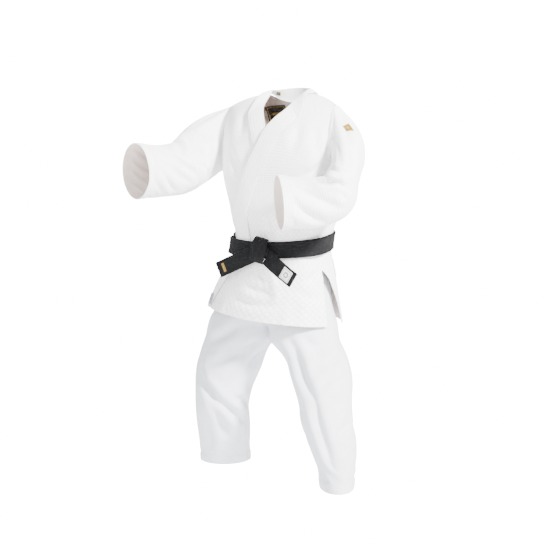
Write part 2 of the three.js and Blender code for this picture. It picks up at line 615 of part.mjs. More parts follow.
// s runs round the leg from the inside, by the front, to the inside again.
function legPoint(leg, s, z, off) {
  const [cx, cy, wide, deep, turn] = through(leg.rows, z);
  const angle = 2 * Math.PI * s;
  const ex = -leg.sign * (wide * LEG_GIRTH + off) * Math.cos(angle);
  const ey = -(deep * LEG_GIRTH + off) * Math.sin(angle);
  const c = Math.cos(rad(turn));
  const d = Math.sin(rad(turn));
  return [cx + ex * c - ey * d, cy + ex * d + ey * c, z];
}
const MIDDLE = -52;
function seatPoint(leg, s, z, off) {
  const [cx, half, depth] = through(HIPS, z);
  const angle = Math.PI * s;
  const hip = [cx + leg.sign * ((half + off) * Math.sin(angle) ** 0.9 + GAP / 2),
    -(depth + off) * spow(Math.cos(angle), 0.9), z];
  const k = smooth(z, -600, CROTCH_Z);
  if (k <= 0) return hip;
  const slit = 0.0015;
  const p = mix3(hip, legPoint(leg, mix(slit, 1 - slit, s), Math.min(z, CROTCH_Z), off), k);
  p[2] = z;
  const wall = MIDDLE + leg.sign * (GAP / 2);
  if (leg.sign * (p[0] - wall) < 0) p[0] = wall;
  return p;
}
for (const [word, leg] of Object.entries(LEGS)) {
  cloth(`trousers_seat_${word}`, (u, v, side) => seatPoint(leg, u,
    mix(TROUSER_TOP - GAP, SEAT_END, v), side * CLOTH), 18, 11, COOL_WHITE);
  const tube = (name, z0, z1, low, high, rows) => cloth(name,
    (u, v, side) => legPoint(leg, u, mix(z0, z1, v), mix(low, high, side)),
    18, rows, COOL_WHITE, true);
  tube(`${word}_hip_gather`, SEAT_END - GAP, THIGH_TOP + GAP, 0, CLOTH, 2);
  tube(`${word}_thigh`, THIGH_TOP, KNEE[0], 0, CLOTH, 4);
  tube(`${word}_knee_gather`, KNEE[0] - GAP, KNEE[1] + GAP, 0, CLOTH, 3);
  tube(`${word}_shin`, KNEE[1], TROUSER_HEM_Z, 0, CLOTH, 5);
  tube(`${word}_trouser_hem`, TROUSER_HEM_Z + HEM_FOLD, TROUSER_HEM_Z, -CLOTH - GAP, -GAP, 1);
}

// Waistband tunnel on the outside of the trouser top, with two eyelets for the drawstring.
const waistRing = (turn, z, off) => {
  const [cx, half, depth] = through(HIPS, z);
  const a = 2 * Math.PI * turn;
  return [cx + (half + off) * spow(Math.sin(a), 0.9), -(depth + off) * spow(Math.cos(a), 0.9), z];
};
const BAND_HIGH = 34;
cloth('trousers_waistband', (u, v, side) => waistRing(u, mix(TROUSER_TOP, TROUSER_TOP - BAND_HIGH, v),
  CLOTH + LOOSE + side * 1.8), 32, 2, COOL_WHITE, true);
for (const [word, turn] of [['left', 0.045], ['right', -0.045]]) {
  const z = TROUSER_TOP - BAND_HIGH / 2;
  const centre = waistRing(turn, z, CLOTH + LOOSE + 1.8 + LOOSE);
  cloth(`drawstring_eyelet_${word}`, (u, v, side) => {
    const r = mix(3.5, 6.5, v);
    return [centre[0] + r * Math.cos(2 * Math.PI * u), centre[1] - side * 1.2 - 0.1,
      centre[2] + r * Math.sin(2 * Math.PI * u)];
  }, 16, 1, COOL_WHITE, true);
}

export default group;
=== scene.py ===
"""Judo uniform standing as worn: cloth jacket, black belt and trousers around the CAD frame."""
import math

import bpy
import numpy as np
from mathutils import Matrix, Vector


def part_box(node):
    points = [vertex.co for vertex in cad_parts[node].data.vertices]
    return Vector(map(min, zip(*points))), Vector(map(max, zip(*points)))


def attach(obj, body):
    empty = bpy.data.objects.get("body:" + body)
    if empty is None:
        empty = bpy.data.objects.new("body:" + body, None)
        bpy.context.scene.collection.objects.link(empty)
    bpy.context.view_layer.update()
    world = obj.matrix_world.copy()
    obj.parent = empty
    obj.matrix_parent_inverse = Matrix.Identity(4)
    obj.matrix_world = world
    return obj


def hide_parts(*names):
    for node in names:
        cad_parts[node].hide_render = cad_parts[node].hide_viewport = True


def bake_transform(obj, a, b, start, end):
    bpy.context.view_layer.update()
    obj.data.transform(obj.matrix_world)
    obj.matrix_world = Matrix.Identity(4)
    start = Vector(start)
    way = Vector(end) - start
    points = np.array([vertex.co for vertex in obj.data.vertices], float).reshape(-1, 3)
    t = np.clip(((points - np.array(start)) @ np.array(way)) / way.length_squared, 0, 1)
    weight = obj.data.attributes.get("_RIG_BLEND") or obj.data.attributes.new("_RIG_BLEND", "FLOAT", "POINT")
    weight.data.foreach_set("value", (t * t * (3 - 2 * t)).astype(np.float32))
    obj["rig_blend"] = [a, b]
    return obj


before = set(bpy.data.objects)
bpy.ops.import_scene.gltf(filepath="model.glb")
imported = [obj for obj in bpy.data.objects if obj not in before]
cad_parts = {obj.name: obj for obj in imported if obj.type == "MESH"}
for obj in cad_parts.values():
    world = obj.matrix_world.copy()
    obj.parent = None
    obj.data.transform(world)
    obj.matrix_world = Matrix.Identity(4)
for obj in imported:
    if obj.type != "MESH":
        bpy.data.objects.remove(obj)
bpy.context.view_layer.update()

# ------------------------------------------------------------------ sizes, millimetres


def node_box(node):
    """Lowest and highest corner of a CAD node in millimetres."""
    low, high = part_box(node)
    return np.array(low) * 1000.0, np.array(high) * 1000.0


CLOTH = 2.2
BAND = 4.0
LOOSE = 1.6
GAP = 0.4
back_low, back_high = node_box("jacket_back")
belt_low, belt_high = node_box("belt_first_turn")
CHEST_X = (back_low[0] + back_high[0]) / 2
CHEST_HALF = (back_high[0] - back_low[0]) / 2 - CLOTH
CHEST_DEPTH = back_high[1] - CLOTH - GAP / 2
SEAM_Z = back_low[2]
SHOULDER_Z = node_box("jacket_front_right")[1][2] - CLOTH
ARMPIT_Z = SHOULDER_Z - 217
BELT_Z = (belt_low[2] + belt_high[2]) / 2
BELT_WIDTH = 44.0
BELT_THICK = 3.2
BELT_DIP = 18.0
HEM_Z = BELT_Z - 217
WAIST_HALF, WAIST_DEPTH = 143.0, 108.0
HEM_HALF, HEM_DEPTH = 205.0, 148.0
NECK_HALF = 62.0
LAPEL_WIDTH = 45.0
TROUSER_TOP = node_box("trousers_waistband")[1][2]
CROTCH_Z = node_box("trousers_seat_left")[0][2] + 14
TROUSER_HEM_Z = node_box("left_shin")[0][2]
TROUSER_HALF, TROUSER_DEPTH = 121.0, 92.0
FLOOR_Z = -1.34           # metres: the sole of a wearer of about 1.72 m

# ------------------------------------------------------------------ small maths


def mix(a, b, t):
    return a + (b - a) * t


def smooth(x, low, high):
    t = np.clip((np.asarray(x, float) - low) / (high - low), 0, 1)
    return t * t * (3 - 2 * t)


def spow(x, p):
    return np.sign(x) * np.abs(x) ** p


def unit(a):
    return a / np.maximum(np.linalg.norm(a, axis=-1, keepdims=True), 1e-9)


def through(rows, key):
    """Smooth curve through rows whose first number is the key; returns one array per column."""
    rows = np.asarray(rows, float)
    keys = rows[:, 0]
    way = 1.0 if keys[-1] > keys[0] else -1.0
    key = np.asarray(key, float)
    last = len(keys) - 1
    i = np.clip(np.searchsorted(way * keys, way * key, side="left") - 1, 0, last - 1)
    p = [rows[np.clip(i + k, 0, last)] for k in (-1, 0, 1, 2)]
    span = p[2][..., 0] - p[1][..., 0]
    t = np.clip((key - p[1][..., 0]) / span, 0, 1)
    wide1 = p[2][..., 0] - p[0][..., 0]
    wide2 = p[3][..., 0] - p[1][..., 0]
    out = []
    for k in range(1, rows.shape[1]):
        m1 = (p[2][..., k] - p[0][..., k]) / wide1 * span
        m2 = (p[3][..., k] - p[1][..., k]) / wide2 * span
        out.append((2 * t ** 3 - 3 * t ** 2 + 1) * p[1][..., k] + (t ** 3 - 2 * t ** 2 + t) * m1
                   + (3 * t ** 2 - 2 * t ** 3) * p[2][..., k] + (t ** 3 - t ** 2) * m2)
    return out


def line(rows, key):
    rows = sorted(rows)
    return np.interp(key, [r[0] for r in rows], [r[1] for r in rows])


def stack(x, y, z):
    x, y, z = np.broadcast_arrays(x, y, z)
    return np.stack([x, y, z], -1).astype(float)


# ------------------------------------------------------------------ shape of the jacket

TORSO = [
    (60, CHEST_X, CHEST_HALF, CHEST_DEPTH, 0.72),
    (ARMPIT_Z, CHEST_X, CHEST_HALF, CHEST_DEPTH, 0.72),
    (SEAM_Z, CHEST_X + 6, mix(WAIST_HALF, CHEST_HALF, 0.62), mix(WAIST_DEPTH, CHEST_DEPTH, 0.7), 0.9),
    (BELT_Z - 6, -22, WAIST_HALF, WAIST_DEPTH, 0.95),
    (mix(BELT_Z, HEM_Z, 0.5), -35, mix(WAIST_HALF, HEM_HALF, 0.46),
     mix(WAIST_DEPTH, HEM_DEPTH, 0.5), 0.95),
    (HEM_Z - 30, -50, HEM_HALF + 4, HEM_DEPTH + 3, 0.95),
]
SHOULDER_SPAN = CHEST_HALF - 5
INNER_LAPEL = CLOTH + LOOSE
OUTER_LIFT = INNER_LAPEL + BAND + LOOSE
OUTER_LAPEL = OUTER_LIFT + CLOTH + LOOSE
OUTER_EDGE = [(SHOULDER_Z, 62), (-40, 30), (-98, -20), (ARMPIT_Z, -72), (SEAM_Z, -118), (BELT_Z, -108)]
INNER_EDGE = [(SHOULDER_Z, -62), (-40, -44), (-98, -20), (ARMPIT_Z, 22), (SEAM_Z, 58), (BELT_Z, 62)]
SIDE = 89.92
ARM_ANGLE = math.degrees(math.asin((SHOULDER_SPAN / CHEST_HALF) ** (1 / 0.72)))
ARC_START, ARC_END, ARM_LEVEL = 0.42, 0.72, 0.3
EDGE_INSET = LAPEL_WIDTH - 10
BAND_TOP = -34.0
COLLAR_BASE = NECK_HALF + 10


def ridge_height(x):
    out = np.abs(x) - NECK_HALF + 10
    drop = np.where(np.asarray(x) > 0, 44.0, 20.0)
    return SHOULDER_Z - drop * np.clip(out / (SHOULDER_SPAN - NECK_HALF), 0, 1.3) ** 2


def lower(angle, z, off, face):
    """Point of the body below the armpit: angle from the front or back middle, in degrees."""
    cx, half, depth, square = through(TORSO, z)
    a = np.radians(angle)
    return stack(cx + (half + off) * spow(np.sin(a), square),
                 face * ((depth + off) * spow(np.cos(a), square) + GAP / 2), z)


def upper(angle, level, off, face):
    """Point of the body; level is 1 at the shoulder ridge, 0 at the armpit, -1 at the waist seam."""
    angle, level, off = np.broadcast_arrays(angle, level, off)
    cx, half, depth, square = through(TORSO, ARMPIT_Z)
    a = np.radians(angle)
    x = cx + (half + off) * spow(np.sin(a), square)
    up = np.clip(level, 0, 1)
    z = mix(ARMPIT_Z, ridge_height(x) + off, up)
    dome = np.sqrt(np.maximum(0, 1 - up ** 2.2))
    y = face * ((depth + off) * spow(np.cos(a), square) * dome + GAP / 2)
    high = stack(x, y, z)
    low = lower(angle, mix(ARMPIT_Z, SEAM_Z, np.clip(-level, 0, 1)), off, face)
    return np.where((level <= 0)[..., None], low, high)


def angle_at(x, z):
    cx, half, _, square = through(TORSO, np.minimum(z, 60))
    return np.degrees(np.arcsin(np.clip(spow((x - cx) / half, 1 / square), -1, 1)))


def level_of(z):
    z = np.asarray(z, float)
    return np.where(z > ARMPIT_Z, (z - ARMPIT_Z) / (SHOULDER_Z - ARMPIT_Z),
                    -(z - ARMPIT_Z) / (SEAM_Z - ARMPIT_Z))


def z_of(level):
    return np.where(level > 0, mix(ARMPIT_Z, SHOULDER_Z, level), mix(ARMPIT_Z, SEAM_Z, -level))


def side_line(v):
    """Angle and level of the side seam, then the armhole, from the waist seam up."""
    v = np.asarray(v, float)
    turn = np.radians((v - ARC_START) / (ARC_END - ARC_START) * 90)
    angle = np.where(v < ARC_START, SIDE,
                     np.where(v < ARC_END, mix(SIDE, ARM_ANGLE, np.sin(turn)), ARM_ANGLE))
    level = np.where(v < ARC_START, mix(-1, 0, v / ARC_START),
                     np.where(v < ARC_END, ARM_LEVEL * (1 - np.cos(turn)),
                              mix(ARM_LEVEL, 1, (v - ARC_END) / (1 - ARC_END))))
    return angle, level


def row_v(level):
    return np.where(level > 0, ARC_START + level * (1 - ARC_START), ARC_START * (1 + level))


def panel_edge(sign, edge, z):
    low = line(edge, np.minimum(z, BAND_TOP)) + sign * EDGE_INSET
    t = np.clip((z - BAND_TOP) / (SHOULDER_Z - BAND_TOP), 0, 1)
    return mix(low, sign * (COLLAR_BASE - 5), t)


def on_front(x, z, off):
    x, z, off = np.broadcast_arrays(x, z, off)
    level = np.minimum(0.998, (z - ARMPIT_Z) / (ridge_height(x) - ARMPIT_Z))
    a = angle_at(x, z)
    high = upper(a, np.where(z > ARMPIT_Z, level, level_of(z)), off, -1)
    return np.where((z < SEAM_Z)[..., None], lower(a, z, off, -1), high)


def outer_lift(angle, level):
    return OUTER_LIFT * (1 - smooth(angle, 44, 66)) * (1 - smooth(level, 0.3, 0.62))


def hem_at(x):
    return HEM_Z - 0.1 * (x + 50)


VENT_TOP = -493.0
VENT_FRONT = 71.0


def skirt_edge(sign, z):
    """Angle of a front's free edge from the waist seam down to the hem."""
    edge = OUTER_EDGE if sign > 0 else INNER_EDGE
    above = angle_at(line(edge, np.maximum(z, BELT_Z)) + sign * EDGE_INSET, z)
    v = np.clip((BELT_Z - 40 - z) / (BELT_Z - 40 - HEM_Z), 0, 1)
    start = angle_at(line(edge, BELT_Z), BELT_Z) + sign * 4
    below = mix(start, -70, v ** 0.8) if sign > 0 else mix(start, 38, v)
    return mix(above, below, smooth(-z, -BELT_Z - 10, -BELT_Z + 35))


def side_angle(z):
    """The fronts' side edge: the side seam to the top of the vent, then the vent's front edge."""
    return mix(SIDE, VENT_FRONT, smooth(-z, -BELT_Z + 18, -VENT_TOP))


def back_side_angle(z):
    join = 180 - side_angle(z)
    open_ = mix(180 - VENT_FRONT, 76, np.clip((VENT_TOP - z) / (VENT_TOP - HEM_Z), 0, 1) ** 0.6)
    return np.where(z > VENT_TOP, join, open_)


def around(angle, z, off):
    """Point of the skirt, angle from the back middle, past 90 degrees on to the front."""
    cx, half, depth, square = through(TORSO, z)
    a = np.radians(angle)
    return stack(cx + (half + off) * spow(np.sin(a), square),
                 (depth + off) * spow(np.cos(a), square), z)


def bowed(n):
    """Levels from the shoulder ridge down to the armpit, closer together near the ridge."""
    w = np.linspace(1, 0, n)
    return np.sin(w * np.pi / 2) ** 0.85


UPPER_ROWS = np.concatenate([bowed(46), np.linspace(0, -1, 25)[1:]])
LOWER_ROWS = np.linspace(0, 1, 66)


def front_grid(sign, columns):
    edge = OUTER_EDGE if sign > 0 else INNER_EDGE
    level = UPPER_ROWS[:, None]
    u = np.linspace(0, 1, columns)[None, :]
    arm_angle, arm_level = side_line(row_v(level))
    z = z_of(level)
    a = mix(angle_at(panel_edge(sign, edge, z), z), sign * arm_angle, u)
    lift = outer_lift(a, level) if sign > 0 else 0 * a
    top = upper(a, mix(level, arm_level, u), lift, -1)
    v = LOWER_ROWS[:, None]
    probe = mix(skirt_edge(sign, np.array(HEM_Z)), sign * VENT_FRONT, u)
    z = mix(SEAM_Z, hem_at(lower(probe, HEM_Z, 0, -1)[..., 0]), v)
    a = mix(skirt_edge(sign, z), sign * side_angle(z), u)
    lift = OUTER_LIFT * (1 - smooth(a, 42, 68)) if sign > 0 else 0 * a
    low = lower(a, z, lift, -1)
    return np.concatenate([top, low[1:]], 0)


def back_grid(columns):
    level = UPPER_ROWS[:, None]
    w = np.linspace(-1, 1, columns)[None, :]
    arm_angle, arm_level = side_line(row_v(level))
    a = w * arm_angle
    lev = mix(level, arm_level, w * w)
    x = CHEST_X + CHEST_HALF * spow(np.sin(np.radians(a)), 0.72)
    dip = (1 - 0.885) * np.sqrt(np.maximum(0, 1 - (x / (NECK_HALF + 6)) ** 2))
    top = upper(a, np.where(lev > 0, lev * (1 - dip), lev), 0.0, 1)
    v = LOWER_ROWS[:, None]
    z = mix(SEAM_Z, hem_at(around(w * 76, HEM_Z, 0)[..., 0]), v)
    low = around(w * back_side_angle(z), z, 0.0)
    return np.concatenate([top, low[1:]], 0)


# Lapels and collar: one band, evaluated at u across its width and at a height over the cloth.


def band_on_front(sign, u, v, off):
    edge = OUTER_EDGE if sign > 0 else INNER_EDGE
    low = BELT_Z - BELT_DIP + BELT_WIDTH / 2 + 4 - 40
    z = mix(low, BAND_TOP, v)
    x = line(edge, z)
    slope = (line(edge, z + 14) - line(edge, z - 14)) / 28
    n = np.hypot(1, slope)
    base = mix(OUTER_LAPEL, INNER_LAPEL, smooth(level_of(z), 0.6, 0.82)) if sign > 0 else INNER_LAPEL
    return on_front(x + sign * u * LAPEL_WIDTH / n, z - sign * u * LAPEL_WIDTH * slope / n, base + off)


def collar_point(u, turn, off):
    """turn is -1 at the right front, 0 behind the neck and 1 at the left front."""
    u, turn, off = np.broadcast_arrays(u, turn, off)
    k = np.abs(turn)
    sign = np.where(turn < 0, -1.0, 1.0)
    ring = np.radians(np.minimum(1, k / 0.56) * 90)
    q = np.clip((k - 0.56) / 0.44, 0, 1)[..., None]
    rim = stack(sign * (NECK_HALF - 2 + off) * np.sin(ring), 6 + (NECK_HALF - 6 + off) * np.cos(ring),
                30 - 8 * np.sin(ring) ** 2)
    left = [band_on_front(1, c, 1.0, off) for c in (0.0, 1.0)]
    right = [band_on_front(-1, c, 1.0, off) for c in (0.0, 1.0)]
    start, end = (np.where((turn < 0)[..., None], r, l) for l, r in zip(left, right))
    rim = mix(rim, start, q)
    x = mix(sign * COLLAR_BASE, end[..., 0], q[..., 0])
    foot_front = on_front(x, mix(ridge_height(x), end[..., 2], q[..., 0]), INNER_LAPEL + 2 + off)
    foot_front = mix(foot_front, end, smooth(q, 0.4, 1))
    x = sign * COLLAR_BASE * np.sin(ring)
    foot_back = upper(angle_at(x, 0 * x), 1 - 0.145 * np.cos(ring), INNER_LAPEL + 2 + off, 1)
    foot = np.where(q > 0, foot_front, foot_back)
    fade = (1 - smooth(q, 0.75, 1))
    swell = (10.4 * u * (1 - u))[..., None] * smooth(q, 0, 0.3) * fade + 1.6 * smooth(q, 0, 0.2) * fade
    return mix(rim, foot, u[..., None]) + swell * np.array([0, -0.8, 0.6])


# ------------------------------------------------------------------ sleeves

ARMS = {
    "left": (1, [
        (0.0, 0, 0, 0, 0.1, 0, 1, 88, 66), (0.12, 50, -14, -18, 0.6, 0, 0.8, 62, 56),
        (0.26, 70, -56, -54, 0.95, 0.2, 0.2, 41, 60), (0.42, 72, -91, -102, 0.97, 0.2, -0.3, 43, 66),
        (0.58, 56, -118, -154, 0.75, -0.1, -0.65, 62, 66), (0.72, 18, -152, -171, 0.45, -0.3, -0.85, 70, 60),
        (0.86, -22, -186, -176, 0.38, -0.36, -0.85, 72, 56),
        (1.0, -64, -221, -178, 0.38, -0.36, -0.85, 77, 58)], (0.44, 0.74), 0.12),
    "right": (-1, [
        (0.0, 0, 0, 0, 0, 0, 1, 88, 66), (0.14, -54, -40, -14, -0.1, -0.1, 1, 86, 54),
        (0.3, -71, -90, -46, -0.1, -0.2, 1, 84, 60), (0.46, -64, -140, -63, -0.1, -0.2, 1, 82, 62),
        (0.62, -60, -194, -82, 0, -0.1, 1, 76, 62), (0.8, -84, -264, -91, 0, 0, 1, 71, 60),
        (1.0, -114, -344, -94, 0, 0, 1, 76, 62)], (0.44, 0.64), 0.14),
}


def armhole(sign, s, off):
    s = np.asarray(s, float)
    down = np.where(s < 0.5, 2 * s, 2 * (1 - s))
    v = np.where(down < 0.62, mix(1, ARC_END, down / 0.62),
                 mix(ARC_END, ARC_START, (down - 0.62) / 0.38))
    angle, level = side_line(v)
    front, rear = upper(sign * angle, level, off, -1), upper(sign * angle, level, off, 1)
    p = np.where((s < 0.5)[..., None], front, rear)
    p[..., 1] = np.where((down > 0.999) | (down < 0.001), 0, p[..., 1])
    return p


def armhole_centre(sign):
    top, bottom = armhole(sign, [0.0], 0.0)[0], armhole(sign, [0.5], 0.0)[0]
    return np.array([CHEST_X + sign * SHOULDER_SPAN, 0, (top[2] + bottom[2]) / 2])


def sleeve_point(arm, s, t, off):
    sign, stations = ARMS[arm][:2]
    s, t, off = np.broadcast_arrays(s, t, off)
    x, y, z, ux, uy, uz, high, wide = through(stations, t)
    ahead = np.stack(through(stations, np.minimum(1, t + 0.02))[:3], -1)
    behind = np.stack(through(stations, np.maximum(0, t - 0.02))[:3], -1)
    along = unit(ahead - behind)
    rough = np.stack([ux, uy, uz], -1)
    up = unit(rough - along * np.sum(rough * along, -1, keepdims=True))
    front = unit(np.cross(along, up)) * sign
    a = 2 * np.pi * s
    ring = (armhole_centre(sign) + np.stack([x, y, z], -1) + up * ((high + off) * np.cos(a))[..., None]
            + front * ((wide + off) * np.sin(a))[..., None])
    seam = armhole(sign, s, off) + np.array([sign * 2.8, 0, 0])
    return mix(seam, ring, (1 - (1 - np.clip(t / 0.26, 0, 1)) ** 2)[..., None])


# ------------------------------------------------------------------ trousers

HIPS = [(TROUSER_TOP, -20, TROUSER_HALF, TROUSER_DEPTH), (-470, -27, TROUSER_HALF + 8, TROUSER_DEPTH + 5),
        (-560, -38, TROUSER_HALF + 41, TROUSER_DEPTH + 18),
        (-640, -52, TROUSER_HALF + 67, TROUSER_DEPTH + 26),
        (CROTCH_Z - 60, -54, TROUSER_HALF + 79, TROUSER_DEPTH + 26)]
LEGS = {
    "left": (1, [
        (CROTCH_Z, 52, -8, 100, 104, 0), (-745, 100, -26, 92, 94, 0), (-800, 133, -55, 87, 88, 4),
        (-865, 158, -80, 74, 82, 10), (-920, 168, -88, 72, 82, 16), (-975, 184, -92, 68, 84, 22),
        (-1040, 199, -96, 54, 90, 28), (TROUSER_HEM_Z, 203, -100, 47, 94, 28)]),
    "right": (-1, [
        (CROTCH_Z, -162, 0, 107, 104, 0), (-745, -182, -10, 102, 94, 0), (-800, -194, -26, 100, 88, 0),
        (-865, -206, -36, 86, 82, 0), (-920, -214, -32, 78, 82, 0), (-975, -223, -10, 79, 78, 0),
        (-1040, -232, 15, 75, 78, 0), (TROUSER_HEM_Z, -241, 36, 75, 78, 0)]),
}
SEAT_END = CROTCH_Z - 14
MIDDLE = -52.0


def leg_point(leg, s, z, off):
    sign, rows = LEGS[leg]
    cx, cy, wide, deep, turn = through(rows, z)
    a = 2 * np.pi * s
    ex = -sign * (wide + off) * np.cos(a)
    ey = -(deep + off) * np.sin(a)
    c, d = np.cos(np.radians(turn)), np.sin(np.radians(turn))
    return stack(cx + ex * c - ey * d, cy + ex * d + ey * c, z)


def trouser_point(leg, s, z, off):
    """The trousers from the waist down to a hem: s runs from the inside, by the front, round again."""
    sign = LEGS[leg][0]
    s, z, off = np.broadcast_arrays(s, z, off)
    cx, half, depth = through(HIPS, z)
    a = np.pi * s
    hip = stack(cx + sign * ((half + off) * np.abs(np.sin(a)) ** 0.9 + GAP / 2),
                -(depth + off) * spow(np.cos(a), 0.9), z)
    k = smooth(-z, 600, -CROTCH_Z)[..., None]
    p = mix(hip, leg_point(leg, mix(0.0015, 0.9985, s), np.minimum(z, CROTCH_Z), off), k)
    p[..., 2] = z
    wall = np.where(z > -640, cx, MIDDLE) + sign * GAP / 2
    seat = z > SEAT_END - 4
    p[..., 0] = np.where(seat & (sign * (p[..., 0] - wall) < 0), wall, p[..., 0])
    return p


# ------------------------------------------------------------------ folds

def normals_of(grid, closed):
    """Unit normals of a grid of points; a closed grid wraps round in its columns."""
    if closed:
        wide = np.concatenate([grid[:, -1:], grid, grid[:, :1]], 1)
        du = (wide[:, 2:] - wide[:, :-2]) / 2
    else:
        du = np.gradient(grid, axis=1)
    dv = np.gradient(grid, axis=0)
    return unit(np.cross(du, dv))


def outward(grid, closed, centre=None):
    """Normals turned to point away from the middle of each row."""
    n = normals_of(grid, closed)
    middle = grid.mean(1, keepdims=True) if centre is None else np.asarray(centre, float)
    return n if np.sum(n * (grid - middle)) > 0 else -n


def fold(grid, normal, path, width, depth, ridge=0.55, side=0.0):
    """A crease along a path of points on the cloth, with a soft ridge on both sides of it."""
    path = np.asarray(path, float)
    best = np.full(grid.shape[:2], 1e9)
    along = np.zeros(grid.shape[:2])
    signed = np.zeros(grid.shape[:2])
    lengths = np.linalg.norm(np.diff(path, axis=0), axis=1)
    total, done = lengths.sum(), 0.0
    for a, b, length in zip(path[:-1], path[1:], lengths):
        d = (b - a) / length
        t = np.clip((grid - a) @ d, 0, length)
        off = grid - (a + t[..., None] * d)
        dist = np.linalg.norm(off, axis=-1)
        nearer = dist < best
        best = np.where(nearer, dist, best)
        along = np.where(nearer, (done + t) / total, along)
        signed = np.where(nearer, np.sum(off * np.cross(d, normal), -1), signed)
        done += length
    taper = np.clip(np.sin(np.pi * np.clip(along, 0.02, 0.98)), 0, 1) ** 0.7
    taper *= np.exp(-np.maximum(0, best - 6 * width) / width)
    d = signed / width
    shape = (-np.exp(-d * d) + ridge * (1 + side) * np.exp(-((d - 1.9) / 1.5) ** 2)
             + ridge * (1 - side) * np.exp(-((d + 1.9) / 1.5) ** 2))
    near = np.exp(-np.maximum(0, best - np.abs(signed)) / (1.5 * width))
    return normal * (depth * shape * taper * near)[..., None]


class Garment:
    """One layer of cloth as a grid of points, with its folds, its ties and how loose it is."""

    def __init__(self, name, grid, closed, centre=None):
        self.name, self.grid, self.cut, self.closed = name, grid, grid, closed
        self.normal = outward(grid, closed, centre)
        self.hold = np.full(grid.shape[:2], 0.25)
        self.slack = np.full(grid.shape[:2], 0.5)
        self.inner = np.full(grid.shape[:2], 5.0)
        self.outer = np.full(grid.shape[:2], 9.0)

    def crease(self, path, width, depth, **more):
        self.grid = self.grid + fold(self.grid, self.normal, path, width, depth, **more)

    def faces(self, start=0):
        rows, columns = self.grid.shape[:2]
        i = np.arange(rows * columns).reshape(rows, columns) + start
        nxt = np.roll(i, -1, 1) if self.closed else i[:, 1:]
        cur = i if self.closed else i[:, :-1]
        return np.stack([cur[:-1], nxt[:-1], nxt[1:], cur[1:]], -1).reshape(-1, 4)


def settle(garments, frames=22):
    """One short cloth simulation of every layer; the moved points are capped and kept."""
    points, faces, hold, slack = [], [], [], []
    for g in garments:
        faces.append(g.faces(sum(len(p) for p in points)))
        points.append(g.grid.reshape(-1, 3) / 1000)
        hold.append(g.hold.ravel())
        slack.append(g.slack.ravel())
    points, faces = np.concatenate(points), np.concatenate(faces)
    mesh = bpy.data.meshes.new("cloth_work")
    mesh.from_pydata(points.tolist(), [], faces.tolist())
    work = bpy.data.objects.new("cloth_work", mesh)
    bpy.context.collection.objects.link(work)
    for label, values in (("hold", hold), ("slack", slack)):
        group = work.vertex_groups.new(name=label)
        values = np.round(np.concatenate(values), 2)
        for value in np.unique(values):
            if value > 0:
                group.add(np.flatnonzero(values == value).tolist(), float(value), "REPLACE")
    cloth = work.modifiers.new("cloth", "CLOTH")
    s = cloth.settings
    s.quality = 5
    s.mass = 0.25
    s.tension_stiffness = s.compression_stiffness = 30
    s.shear_stiffness = 12
    s.bending_stiffness = 6
    s.tension_damping = s.compression_damping = 8
    s.vertex_group_mass = "hold"
    s.pin_stiffness = 1.4
    s.vertex_group_shrink = "slack"
    s.shrink_min = 0.0
    s.shrink_max = -0.13
    s.effector_weights.gravity = 0.25
    cloth.collision_settings.use_collision = False
    scene = bpy.context.scene
    scene.frame_start, scene.frame_end = 1, frames
    cloth.point_cache.frame_start, cloth.point_cache.frame_end = 1, frames
    for f in range(1, frames + 1):
        scene.frame_set(f)
    graph = bpy.context.evaluated_depsgraph_get()
    result = work.evaluated_get(graph).to_mesh()
    moved = np.empty(len(result.vertices) * 3)
    result.vertices.foreach_get("co", moved)
    moved = moved.reshape(-1, 3) * 1000
    work.evaluated_get(graph).to_mesh_clear()
    work.modifiers.clear()
    bpy.data.objects.remove(work)
    bpy.data.meshes.remove(mesh)
    scene.frame_set(1)
    start = 0
    for g in garments:
        rows, columns = g.grid.shape[:2]
        now = moved[start:start + rows * columns].reshape(rows, columns, 3)
        start += rows * columns
        shift = now - g.grid
        out = np.sum(shift * g.normal, -1)
        capped = np.where(out > 0, g.outer * np.tanh(out / g.outer), g.inner * np.tanh(out / g.inner))
        slide = shift - g.normal * out[..., None]
        size = np.linalg.norm(slide, axis=-1, keepdims=True)
        slide *= 5 * np.tanh(size / 5) / np.maximum(size, 1e-6)
        g.grid = g.grid + g.normal * capped[..., None] + slide


def blur(grid, closed, times=1):
    for _ in range(times):
        if closed:
            side = (np.roll(grid, 1, 1) + np.roll(grid, -1, 1)) / 2
        else:
            side = grid.copy()
            side[:, 1:-1] = (grid[:, :-2] + grid[:, 2:]) / 2
        long_ = grid.copy()
        long_[1:-1] = (grid[:-2] + grid[2:]) / 2
        grid = grid * 0.5 + side * 0.25 + long_ * 0.25
    return grid

# ------------------------------------------------------------------ solid cloth from a layer

materials = {}


def loops_of(rows, columns, closed):
    """Index loops round the free edges of a grid."""
    i = np.arange(rows * columns).reshape(rows, columns)
    if closed:
        return [i[0], i[-1][::-1]]
    return [np.concatenate([i[0, :-1], i[:-1, -1], i[-1, :0:-1], i[:0:-1, 0]])]


